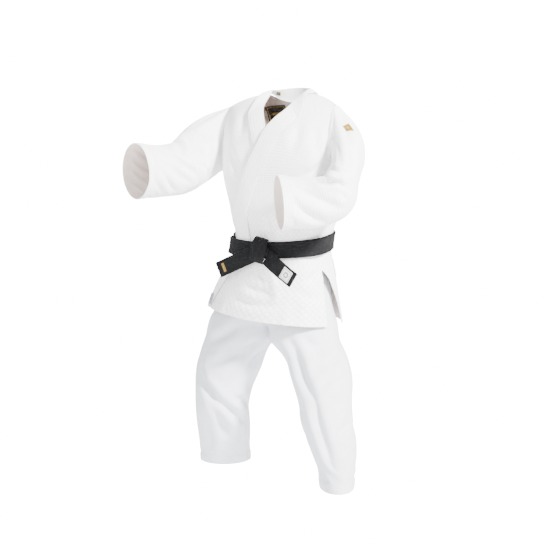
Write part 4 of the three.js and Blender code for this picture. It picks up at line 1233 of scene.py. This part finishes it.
for word, sign in (("left", 1), ("right", -1)):
    low = skirt_band(sign, 0.0)
    n = normals_of(low, False)
    n = n if np.sum(n * (skirt_band(sign, 4.0) - low)) > 0 else -n
    make(f"skirt_band_{word}", Layer(low, n), 0, 60, quilted(across)[None, :], ("band_cloth", "band_cloth"),
         [f"skirt_lapel_{word}"], ride="skirt_front",
         mask=near(edge_distance(low, True, True), 4))

# Sleeves: upper part bends from the jacket to the arm, lower part from the arm to the forearm.
ELBOWS = {"left": ((0.222, -0.085, -0.213), (0.165, -0.152, -0.286)),
          "right": ((-0.262, -0.112, -0.166), (-0.254, -0.218, -0.203))}
SHOULDERS = {"left": ((0.150, 0.004, -0.108), (0.208, -0.040, -0.152)),
             "right": ((-0.198, 0.0, -0.113), (-0.262, -0.052, -0.128))}
for word, g in sleeves.items():
    cut = int(np.searchsorted(SLEEVE_ROWS, 0.29))
    rows = run_uv(g.grid)[..., 1] * 1000
    rows = rows + 0 * g.grid[..., 0]
    cuff = rows.max() - rows
    mask = np.clip(near(rows) + near(np.abs(cuff - 26), 5) + 0.6 * near(cuff, 4), 0, 1)
    thick = CLOTH + 1.3 * (1 - smooth(cuff, 25, 28)) + 0.8 * (1 - smooth(rows, 9, 11))
    make(f"{word}_sleeve_top", g, 0, cut + 1, thick, JACKET,
         [f"{word}_shoulder_gather", f"{word}_upper_sleeve"],
         bend=("jacket", f"{word}_upper_arm", *SHOULDERS[word]), mask=mask)
    make(f"{word}_sleeve_end", g, cut, len(g.grid), thick, JACKET,
         [f"{word}_elbow_gather", f"{word}_lower_sleeve", f"{word}_cuff_hem"],
         bend=(f"{word}_upper_arm", f"{word}_forearm", *ELBOWS[word]), mask=mask)

# Trousers: seat halves, then each leg in two parts that meet at mid thigh.
for word, g in legs.items():
    split = SEAT_ROWS + int(np.searchsorted(-TROUSER_ROWS[SEAT_ROWS:], 822))
    rows = np.abs(TROUSER_ROWS - TROUSER_ROWS[0])[:, None] + 0 * g.grid[..., 0]
    hem = (TROUSER_ROWS - TROUSER_HEM_Z)[:, None] + 0 * g.grid[..., 0]
    side = edge_distance(g.grid, True, False)
    u = np.linspace(0, 1, g.grid.shape[1])[None, :] + 0 * rows
    outer_seam = np.abs(u - 0.5) * 430
    mask = np.clip(near(side) + near(outer_seam, 5) + near(np.abs(hem - 26), 5) + 0.6 * near(hem, 4), 0, 1)
    ridge = 0.8 * (1 - smooth(np.abs(outer_seam - 4), 3, 6))
    thick = CLOTH - 0.4 + 1.2 * (1 - smooth(hem, 25, 28)) + ridge
    last = len(g.grid)
    make(f"trouser_seat_{word}", g, 0, SEAT_ROWS, thick, TROUSER, [f"trousers_seat_{word}"],
         ride="trousers", mask=mask)
    make(f"{word}_leg_top", g, SEAT_ROWS - 1, split + 1, thick, TROUSER,
         [f"{word}_hip_gather", f"{word}_thigh"],
         bend=("trousers", f"{word}_leg", (0, 0, SEAT_END / 1000), (0, 0, -0.800)),
         mask=mask)
    make(f"{word}_leg_end", g, split, last, thick, TROUSER,
         [f"{word}_knee_gather", f"{word}_shin", f"{word}_trouser_hem"],
         bend=(f"{word}_leg", f"{word}_calf", (0, 0, -0.862), (0, 0, -0.948)), mask=mask)

# ------------------------------------------------------------------ trouser waistband and eyelets


def waist_ring(turn, z, off):
    cx, half, depth = through(HIPS, z)
    a = 2 * np.pi * turn
    return stack(cx + (half + off) * spow(np.sin(a), 0.9), -(depth + off) * spow(np.cos(a), 0.9), z)


turns = np.arange(220)[None, :] / 220
waist_low = waist_ring(turns, mix(TROUSER_TOP, TROUSER_TOP - 34, np.linspace(0, 1, 14)[:, None]), CLOTH + 1.0)
waist_n = normals_of(waist_low, True)
waist_n = waist_n if np.sum(waist_n * (waist_low - waist_low.mean((0, 1)))) > 0 else -waist_n
ruffle = 0.5 * np.sin(2 * np.pi * turns * 57) + 0.35 * np.sin(2 * np.pi * turns * 23 + 1.0)
full = 1.4 + 1.0 * np.sin(np.pi * np.linspace(0, 1, 14))[:, None] ** 0.6 + 0.5 * ruffle
make("trouser_waistband", Layer(waist_low, waist_n, True), 0, 14, full, TROUSER, ["trousers_waistband"],
     ride="trousers", mask=near(edge_distance(waist_low, False, True), 4))
for word, turn in (("left", 0.045), ("right", -0.045)):
    centre = waist_ring(np.array(turn), np.array(TROUSER_TOP - 17), CLOTH + LOOSE + 1.8 + LOOSE - 0.6)
    a = np.arange(36)[None, :] / 36 * 2 * np.pi
    b = np.arange(10)[:, None] / 9
    r = mix(3.4, 6.6, b)
    ring = stack(centre[0] + r * np.cos(a), centre[1] - 0.9 * np.sin(np.pi * b) + 0 * a,
                 centre[2] + r * np.sin(a))
    out = np.zeros_like(ring)
    out[..., 1] = -1
    make(f"eyelet_{word}", Layer(ring, out, True), 0, 10, 1.2, ("thread", "thread"),
         [f"drawstring_eyelet_{word}"], ride="trousers")

# ------------------------------------------------------------------ belt


def belt_base(angle, front):
    edge = angle_at(line(OUTER_EDGE, BELT_Z), BELT_Z)
    over = smooth(angle, edge - 26, edge - 10) * (1 - smooth(angle, 54, 88))
    band = smooth(angle, edge - 26, edge - 10) * (1 - smooth(angle, edge + 26, edge + 44))
    base = CLOTH + LOOSE + (OUTER_LAPEL - CLOTH) * over + (BAND + LOOSE) * band
    return np.where(front, base, CLOTH + LOOSE)


def belt_grid(inner, slant):
    turn = (np.arange(260) / 260 * 360)[None, :]
    v = np.linspace(-0.5, 0.5, 13)[:, None]
    front = (turn <= 90) | (turn >= 270)
    raw = np.where(turn > 180, turn - 360, turn)
    angle = np.where(front, raw, np.sign(raw) * (180 - np.abs(raw)))
    face = np.where(front, -1.0, 1.0)
    dip = BELT_Z + face * BELT_DIP * np.cos(np.radians(angle))
    z = dip + v * BELT_WIDTH + slant * np.sin(np.radians(raw))
    off = belt_base(angle, front) + inner + 0.8 * (1 - (2 * v) ** 2)
    cx, half, depth, square = through(TORSO, z)
    a = np.radians(raw)
    return stack(cx + (half + off) * spow(np.sin(a), square), -(depth + off) * spow(np.cos(a), square), z)


for k, (name, inner, slant) in enumerate((("belt_inner_turn", 0.0, 1.5), ("belt_outer_turn", 3.8, -2.2))):
    low = belt_grid(inner, slant)
    n = outward(low, True)
    make(name, Layer(low, n, True), 0, len(low), BELT_THICK, ("belt_cloth", "belt_cloth"),
         [("belt_first_turn", "belt_second_turn")[k]], ride="jacket")

KNOT_X = -24.0
TAIL_HALF = BELT_WIDTH / 2
KNOT_Z = BELT_Z - BELT_DIP
BELT_FRONT = node_box("knot_crossing")[1][1] + GAP
TILT = math.radians(14)


def knot_place(across_, high, out):
    return stack(KNOT_X + across_ * math.cos(TILT) + high * math.sin(TILT), BELT_FRONT - GAP - out,
                 KNOT_Z - across_ * math.sin(TILT) + high * math.cos(TILT))


# Crossing under the wrap: a plump bar with its ends tucked in.
v = np.linspace(0, 1, 30)[:, None]
a = np.arange(40)[None, :] / 40 * 2 * np.pi
plump = np.sqrt(np.maximum(0.02, 1 - np.abs(2 * v - 1) ** 3.2))
bar = knot_place((v - 0.5) * 60 + 0 * a, 15.5 * np.cos(a) * (0.72 + 0.28 * plump),
                 5.2 + 5.4 * np.sin(a) * plump)
bar_n = outward(bar, True)
make("knot_bar", Layer(bar - bar_n * 1.5, bar_n, True), 0, 30, 1.5, ("belt_cloth", "belt_cloth"),
     ["knot_crossing"], ride="jacket")
path = np.radians(np.linspace(-22, 200, 64))[:, None]
w = np.linspace(-0.5, 0.5, 30)[None, :]
waist = 1 - 0.20 * np.abs(np.cos(path)) ** 2.2
round_ = 2.4 * (1 - (2 * w) ** 4)
high = np.cos(path) * (BELT_WIDTH / 2 + 11 + 1.0)
out = spow(np.maximum(0, np.sin(path)), 0.5) * (9 + LOOSE + 1.2) + round_ * np.maximum(0, np.sin(path))
out = out + np.where(np.sin(path) < 0, -4 * np.abs(np.sin(path)), 0)
wrap = knot_place(w * (BELT_WIDTH + 3) * waist, high, out)
wrap_n = normals_of(wrap, False)
wrap_n = wrap_n if wrap_n[32, 15, 1] < 0 else -wrap_n
wrap_layer = Garment("wrap", wrap, False)
wrap_layer.normal = wrap_n
for offset, deep in ((-9, 0.9), (6, 1.1), (15, 0.7)):
    wrap_layer.crease(knot_place(np.array([offset * 0.7, offset, offset * 0.8]), np.array([28, 4, -26]),
                                 np.array([6, 14, 6])), 2.6, deep)
make("knot_wrap_turn", wrap_layer, 0, 64, BELT_THICK, ("belt_cloth", "belt_cloth"), ["knot_wrap"],
     ride="jacket")

TAILS = {"left": ((38, -8, -28), (80, -16, -50)), "right": ((-36, -8, -20), (-82, -12, -38))}
TAIL_LENGTH = 98.0


def tail_frame(word):
    base, along = TAILS[word]
    along = unit(np.array(along, float))
    across_ = unit(np.cross(along, [0, -1, 0]))
    out_ = unit(np.cross(across_, along))
    out_ = out_ * (1 if -out_[1] > 0 else -1)
    return np.array([KNOT_X + base[0], BELT_FRONT + base[1], KNOT_Z + base[2]]), along, across_, out_


def on_tail(word, distance, offset, height):
    start, along, across_, out_ = tail_frame(word)
    d, o, h = np.broadcast_arrays(distance, offset, height)
    sag = 3 * np.sin(np.pi * d / TAIL_LENGTH)
    curl = 0.9 * (1 - (o / TAIL_HALF) ** 2) + 0.8 * np.sin(d / 17) * o / TAIL_HALF
    return (start + along * d[..., None] + across_ * o[..., None] + out_ * (h + sag + curl)[..., None])


for word in TAILS:
    d = np.linspace(-16, TAIL_LENGTH, 60)[:, None]
    o = np.linspace(-TAIL_HALF, TAIL_HALF, 22)[None, :]
    low = on_tail(word, d, o, 0.0)
    n = np.broadcast_to(tail_frame(word)[3], low.shape)
    uvn = normals_of(low, False)
    uvn = uvn if np.sum(uvn * n) > 0 else -uvn
    piece = Layer(low, uvn)
    uv = np.stack(np.broadcast_arrays(d / 1000, (o + TAIL_HALF) / 1000), -1)
    made = shell(f"belt_tail_{word}", low, uvn, False, BELT_THICK, ("belt_cloth", "belt_cloth"), uv)
    set_normals(made, low, uvn, BELT_THICK, False)
    finish_piece(made, [f"belt_end_{word}"], ride=f"{word}_tail")


def label(name, points_of, thick, skin, nodes, slot, ride, rows=14, columns=14, face=-1, span=1.0):
    """A small woven label: points_of(u, v) lies on the cloth, face says which way it looks,
    and span scales a woven pattern to its real size."""
    u = np.linspace(0, 1, columns)[None, :]
    v = np.linspace(0, 1, rows)[:, None]
    low = points_of(u, v)
    n = normals_of(low, False)
    n = n if np.sum(n * np.asarray(face, float)) > 0 else -n
    uv = np.stack(np.broadcast_arrays(u, 1 - v), -1) * span
    made = shell(name, low, n, False, thick, (skin, skin), uv)
    set_normals(made, low, n, thick, False)
    finish_piece(made, nodes, ride=ride)
    return low, n


left_out = tail_frame("left")[3]
right_out = tail_frame("right")[3]
label("tail_patch", lambda u, v: on_tail("left", mix(TAIL_LENGTH - 43, TAIL_LENGTH - 11, v),
                                         mix(-17, 17, u), BELT_THICK + 0.1),
      0.7, "label_white", ["belt_end_patch"], "label_white", "left_tail", face=left_out)
label("tail_bar", lambda u, v: on_tail("right", mix(TAIL_LENGTH - 24, TAIL_LENGTH - 16, v),
                                       mix(-13, 13, u), BELT_THICK + 0.1),
      0.8, "gold_mark", ["belt_end_bar"], "gold_thread", "right_tail", face=right_out)

# ------------------------------------------------------------------ labels on the jacket


def on_grid(g, row, column, lift):
    """Point on the outer face of a layer at fractional row and column."""
    row, column = np.broadcast_arrays(row, column)
    r0 = np.clip(np.floor(row).astype(int), 0, g.grid.shape[0] - 2)
    c0 = np.clip(np.floor(column).astype(int), 0, g.grid.shape[1] - 2)
    fr, fc = (row - r0)[..., None], (column - c0)[..., None]
    total = 0
    for dr, wr in ((0, 1 - fr), (1, fr)):
        for dc, wc in ((0, 1 - fc), (1, fc)):
            total = total + (g.grid[r0 + dr, c0 + dc] + g.normal[r0 + dr, c0 + dc] * lift) * wr * wc
    return total


def find(g, point):
    """Nearest row and column of a layer to a point."""
    d = np.linalg.norm(g.grid - np.asarray(point, float), axis=-1)
    return np.unravel_index(np.argmin(d), d.shape)


label("inner_label",
      lambda u, v: upper(angle_at(mix(-116, -50, u), 0 * u), level_of(mix(-16, -62, v)), -LOOSE - 1.2, 1),
      0.8, "label_black", ["neck_label"], "label_black", "jacket", face=(0, -1, 0))
label("size_label", lambda u, v: collar_point(mix(0.2, 0.6, v), mix(-0.44, -0.35, u), -1.4),
      0.8, "label_black", ["size_tab"], "label_black", "jacket", face=(1, -1, 0))
arm = sleeves["left"]
mark_row, mark_col = find(arm, node_box("shoulder_mark")[0] * 0.5 + node_box("shoulder_mark")[1] * 0.5)
label("sleeve_mark",
      lambda u, v: on_grid(arm, mark_row + mix(-2.0, 2.0, v), mark_col + mix(-3.2, 3.2, u), 3.0),
      0.9, "gold_mark", ["shoulder_mark"], "gold_thread", "left_upper_arm",
      face=arm.normal[mark_row, mark_col])


def hem_label(u, v):
    a_ = mix(-62, -50, u)
    z_ = mix(hem_at(-215) + 44, hem_at(-215) + 12, v)
    return lower(a_, z_, OUTER_LAPEL + BAND + 2.4, -1)


label("hem_tag", hem_label, 0.8, "label_hem", ["hem_label"], "label_white", "skirt_front", face=(0, -1, 0))

# Vent reinforcements at the side seams.
for word, sign in (("left", 1), ("right", -1)):
    def patch(u, v, sign=sign):
        return around(sign * mix(75, 59, u), mix(VENT_TOP + 24, VENT_TOP - 24, v), CLOTH + 1.0)
    label(f"vent_patch_cloth_{word}", patch, 1.5, "skirt_cloth", [f"vent_patch_{word}"], "rice_weave",
          "skirt_rear", face=(0, 1, 0), span=0.045)

# ------------------------------------------------------------------ rows of stitches


def stitch_tree():
    """Geometry nodes: short threads laid at an even pitch along rows of edges."""
    tree = bpy.data.node_groups.new("Stitch rows", "GeometryNodeTree")
    for name_, kind, value in (("Rows", "NodeSocketGeometry", None), ("Thread", "NodeSocketObject", None),
                               ("Pitch", VAL, 0.0034), ("Length", VAL, 0.0024), ("Thickness", VAL, 0.0006),
                               ("Material", "NodeSocketMaterial", None)):
        made = tree.interface.new_socket(name=name_, in_out="INPUT", socket_type=kind)
        if value is not None:
            made.default_value = value
    tree.interface.new_socket(name="Geometry", in_out="OUTPUT", socket_type="NodeSocketGeometry")
    net = Net(tree)
    i = net.node("NodeGroupInput").outputs
    curve = net.node("GeometryNodeMeshToCurve", {"Mesh": i["Rows"]}).outputs[0]
    points = net.node("GeometryNodeCurveToPoints", {"Curve": curve, "Length": i["Pitch"]}, mode="LENGTH")
    up = net.node("GeometryNodeInputNamedAttribute", {"Name": "up"}, data_type="FLOAT_VECTOR")
    turn = net.node("FunctionNodeAlignRotationToVector", {"Vector": points.outputs["Tangent"]}, axis="X")
    turn2 = net.node("FunctionNodeAlignRotationToVector",
                     {"Rotation": turn.outputs[0], "Vector": up.outputs["Attribute"]},
                     axis="Z", pivot_axis="X")
    thread = net.node("GeometryNodeObjectInfo", {"Object": i["Thread"]})
    size = net.node("ShaderNodeCombineXYZ", {"X": i["Length"], "Y": i["Thickness"], "Z": i["Thickness"]})
    put = net.node("GeometryNodeInstanceOnPoints", {
        "Points": points.outputs["Points"], "Instance": thread.outputs["Geometry"],
        "Rotation": turn2.outputs[0], "Scale": size.outputs[0]})
    real = net.node("GeometryNodeRealizeInstances", {"Geometry": put.outputs[0]})
    paint = net.node("GeometryNodeSetMaterial", {"Geometry": real.outputs[0], "Material": i["Material"]})
    net.feed(net.node("NodeGroupOutput").inputs[0], paint.outputs[0])
    return tree


def thread_shape():
    """One stitch: a short rounded thread, one unit long, its ends dipping into the cloth."""
    rings, sides = 5, 5
    verts, faces = [], []
    for k in range(rings):
        t = k / (rings - 1)
        r = 0.5 * math.sin(math.pi * mix(0.14, 0.86, t)) ** 0.6
        dip = -0.55 * (2 * t - 1) ** 2
        for q in range(sides):
            a_ = 2 * math.pi * q / sides
            verts.append((t - 0.5, r * math.cos(a_), r * math.sin(a_) + dip))
    for k in range(rings - 1):
        for q in range(sides):
            n_ = (q + 1) % sides
            faces.append((k * sides + q, k * sides + n_, (k + 1) * sides + n_, (k + 1) * sides + q))
    faces.append(tuple(range(sides - 1, -1, -1)))
    faces.append(tuple((rings - 1) * sides + q for q in range(sides)))
    mesh = bpy.data.meshes.new("thread_shape")
    mesh.from_pydata(verts, [], faces)
    made = bpy.data.objects.new("thread_shape", mesh)
    bpy.context.collection.objects.link(made)
    return made


STITCHES, THREAD = stitch_tree(), thread_shape()


def stitches(name, lines_, body, pitch=3.4, length=2.5, thick=0.6, skin="thread"):
    """Rows of stitches on one body. Each row is (points, normals) in millimetres."""
    points, ups, edges = [], [], []
    for pts, nrm in lines_:
        start = len(points)
        points.extend((np.asarray(pts) / 1000).tolist())
        ups.extend(np.asarray(nrm).tolist())
        edges.extend((start + k, start + k + 1) for k in range(len(pts) - 1))
    mesh = bpy.data.meshes.new(name + "_rows")
    mesh.from_pydata(points, edges, [])
    mesh.attributes.new("up", "FLOAT_VECTOR", "POINT").data.foreach_set("vector", np.ravel(ups))
    rows = bpy.data.objects.new(name + "_rows", mesh)
    bpy.context.collection.objects.link(rows)
    mod = rows.modifiers.new("stitches", "NODES")
    mod.node_group = STITCHES
    ids = {s.name: s.identifier for s in STITCHES.interface.items_tree if s.in_out == "INPUT"}
    for key, value in (("Thread", THREAD), ("Pitch", pitch / 1000), ("Length", length / 1000),
                       ("Thickness", thick / 1000), ("Material", materials[skin])):
        mod[ids[key]] = value
    graph = bpy.context.evaluated_depsgraph_get()
    graph.update()
    result = bpy.data.meshes.new_from_object(rows.evaluated_get(graph))
    bpy.data.objects.remove(rows)
    result.name = name
    for layer in list(result.attributes):
        if layer.name == "up":
            result.attributes.remove(layer)
    made = bpy.data.objects.new(name, result)
    bpy.context.collection.objects.link(made)
    finish_piece(made, [], ride=body)
    return made


def row_of(g, row, lift, c0=0, c1=None):
    """A line across a layer at a fractional row."""
    columns = g.grid.shape[1]
    r = int(np.floor(row))
    f = row - r
    r1 = min(r + 1, g.grid.shape[0] - 1)
    pts = mix(g.grid[r], g.grid[r1], f)
    nrm = unit(mix(g.normal[r], g.normal[r1], f))
    pts = pts + nrm * lift
    if g.closed:
        pts, nrm = np.concatenate([pts, pts[:1]]), np.concatenate([nrm, nrm[:1]])
    else:
        pts, nrm = pts[c0:c1 or columns], nrm[c0:c1 or columns]
    return pts, nrm


def column_of(g, column, lift, r0=0, r1=None):
    c = int(np.floor(column))
    f = column - c
    c1 = min(c + 1, g.grid.shape[1] - 1)
    pts = mix(g.grid[:, c], g.grid[:, c1], f)[r0:r1]
    nrm = unit(mix(g.normal[:, c], g.normal[:, c1], f))[r0:r1]
    return pts + nrm * lift, nrm


def row_at(g, from_end):
    """Fractional row at a distance in millimetres from the last row."""
    v = run_uv(g.grid)[:, 0, 1] * 1000
    return float(np.interp(v.max() - from_end, v, np.arange(len(v))))


def column_at(g, distance, from_end=False):
    u = run_uv(g.grid)[0, :, 0] * 1000
    return float(np.interp(u.max() - distance if from_end else distance, u, np.arange(len(u))))


HEM = CLOTH + 1.6
WAIST = CLOTH + 0.6
for g, skirt_body, tag in ((left_front, "skirt_front", "left"), (right_front, "skirt_front", "right"),
                           (back, "skirt_rear", "rear")):
    low = int(row_at(g, 145))
    lines_ = [row_of(g, row_at(g, d), HEM) for d in (4, 24)]
    if tag != "right":
        lines_ += [column_of(g, column_at(g, d, True), HEM, low) for d in (4, 16)]
    if tag == "rear":
        lines_ += [column_of(g, column_at(g, d), HEM, low) for d in (4, 16)]
    stitches(f"skirt_stitches_{tag}", lines_, skirt_body)
stitches("waist_seam_stitches", [row_of(g, UP + k, WAIST + 0.1) for g in (left_front, right_front, back)
                                 for k in (0.6, 2.2)], "jacket")
stitches("band_stitches", [column_of(band_layer_, c * 5, BAND + 0.8, 0, None)
                           for c in (0.55, 1.5, 2.5, 3.5, 4.45)],
         "jacket", pitch=4.4, length=3.0)
for word, g in sleeves.items():
    stitches(f"{word}_armhole_stitches", [row_of(g, 2.4, CLOTH + 0.9)], "jacket")
    stitches(f"{word}_cuff_stitches", [row_of(g, row_at(g, d), HEM - 0.1) for d in (4, 22, 26)],
             f"{word}_forearm")
for word, g in legs.items():
    stitches(f"{word}_hem_stitches", [row_of(g, row_at(g, d), CLOTH + 0.8 - 0.4) for d in (23, 27)],
             f"{word}_calf")
bpy.data.objects.remove(THREAD)

# ------------------------------------------------------------------ room, light and view


AMBIENT, BACKDROP, FLOOR_GLOW = 1.25, 20.0, 17.0


def plain(name, colour, rough):
    """Pale paint for the floor, which fades into the bright backdrop."""
    made = bpy.data.materials.new(name)
    made.use_nodes = True
    tree = made.node_tree
    net = Net(tree)
    shader = tree.nodes["Principled BSDF"]
    where = net.node("ShaderNodeTexCoord").outputs["Object"]
    n_ = net.noise(where, 1.5, 2.0)
    net.feed(shader.inputs["Base Color"], net.blend(n_, (*colour, 1), (*[c * 0.985 for c in colour], 1)))
    shader.inputs["Roughness"].default_value = rough
    shader.inputs["Emission Color"].default_value = (0.97, 0.98, 1.0, 1)
    seen_by_camera = net.node("ShaderNodeLightPath").outputs["Is Camera Ray"]
    net.feed(shader.inputs["Emission Strength"], net.math("MULTIPLY", seen_by_camera, FLOOR_GLOW))
    return made


mesh = bpy.data.meshes.new("floor")
mesh.from_pydata([(-30, -30, FLOOR_Z), (30, -30, FLOOR_Z), (30, 30, FLOOR_Z), (-30, 30, FLOOR_Z)], [],
                 [(0, 1, 2, 3)])
mesh.materials.append(plain("floor_paint", (0.93, 0.93, 0.935), 0.9))
floor = bpy.data.objects.new("floor", mesh)
bpy.context.collection.objects.link(floor)

world = bpy.data.worlds.new("studio")
world.use_nodes = True
net = Net(world.node_tree)
ground = world.node_tree.nodes["Background"]
ground.inputs[0].default_value = (0.95, 0.97, 1.0, 1)
seen_by_camera = net.node("ShaderNodeLightPath").outputs["Is Camera Ray"]
net.feed(ground.inputs[1], net.math("MULTIPLY_ADD", seen_by_camera, BACKDROP - AMBIENT, AMBIENT))
bpy.context.scene.world = world


def lamp(name, place, aim, size, power, tint):
    data = bpy.data.lights.new(name, "AREA")
    data.shape, data.size, data.energy, data.color = "SQUARE", size, power, tint
    made = bpy.data.objects.new(name, data)
    bpy.context.collection.objects.link(made)
    made.location = place
    d = np.array(aim, float) - np.array(place, float)
    made.rotation_euler = Vector(d).to_track_quat("-Z", "Y").to_euler()
    return made


lamp("key", (3.3, -1.1, 2.1), (0, 0, -0.5), 0.6, 1250, (1.0, 0.985, 0.96))
lamp("fill", (0.4, -4.0, 1.2), (0, 0, -0.5), 1.6, 170, (0.96, 0.98, 1.0))
lamp("rear", (-1.7, 3.2, 1.8), (0, 0, -0.4), 2.0, 420, (0.97, 0.98, 1.0))

camera_data = bpy.data.cameras.new("camera")
camera_data.lens, camera_data.sensor_width = 85, 36
camera = bpy.data.objects.new("camera", camera_data)
bpy.context.collection.objects.link(camera)
camera.location = (1.745, -3.375, -0.117)
aim = Vector((-0.0132, -0.0678, -0.5105))
camera.rotation_euler = (aim - camera.location).to_track_quat("-Z", "Y").to_euler()
bpy.context.scene.camera = camera
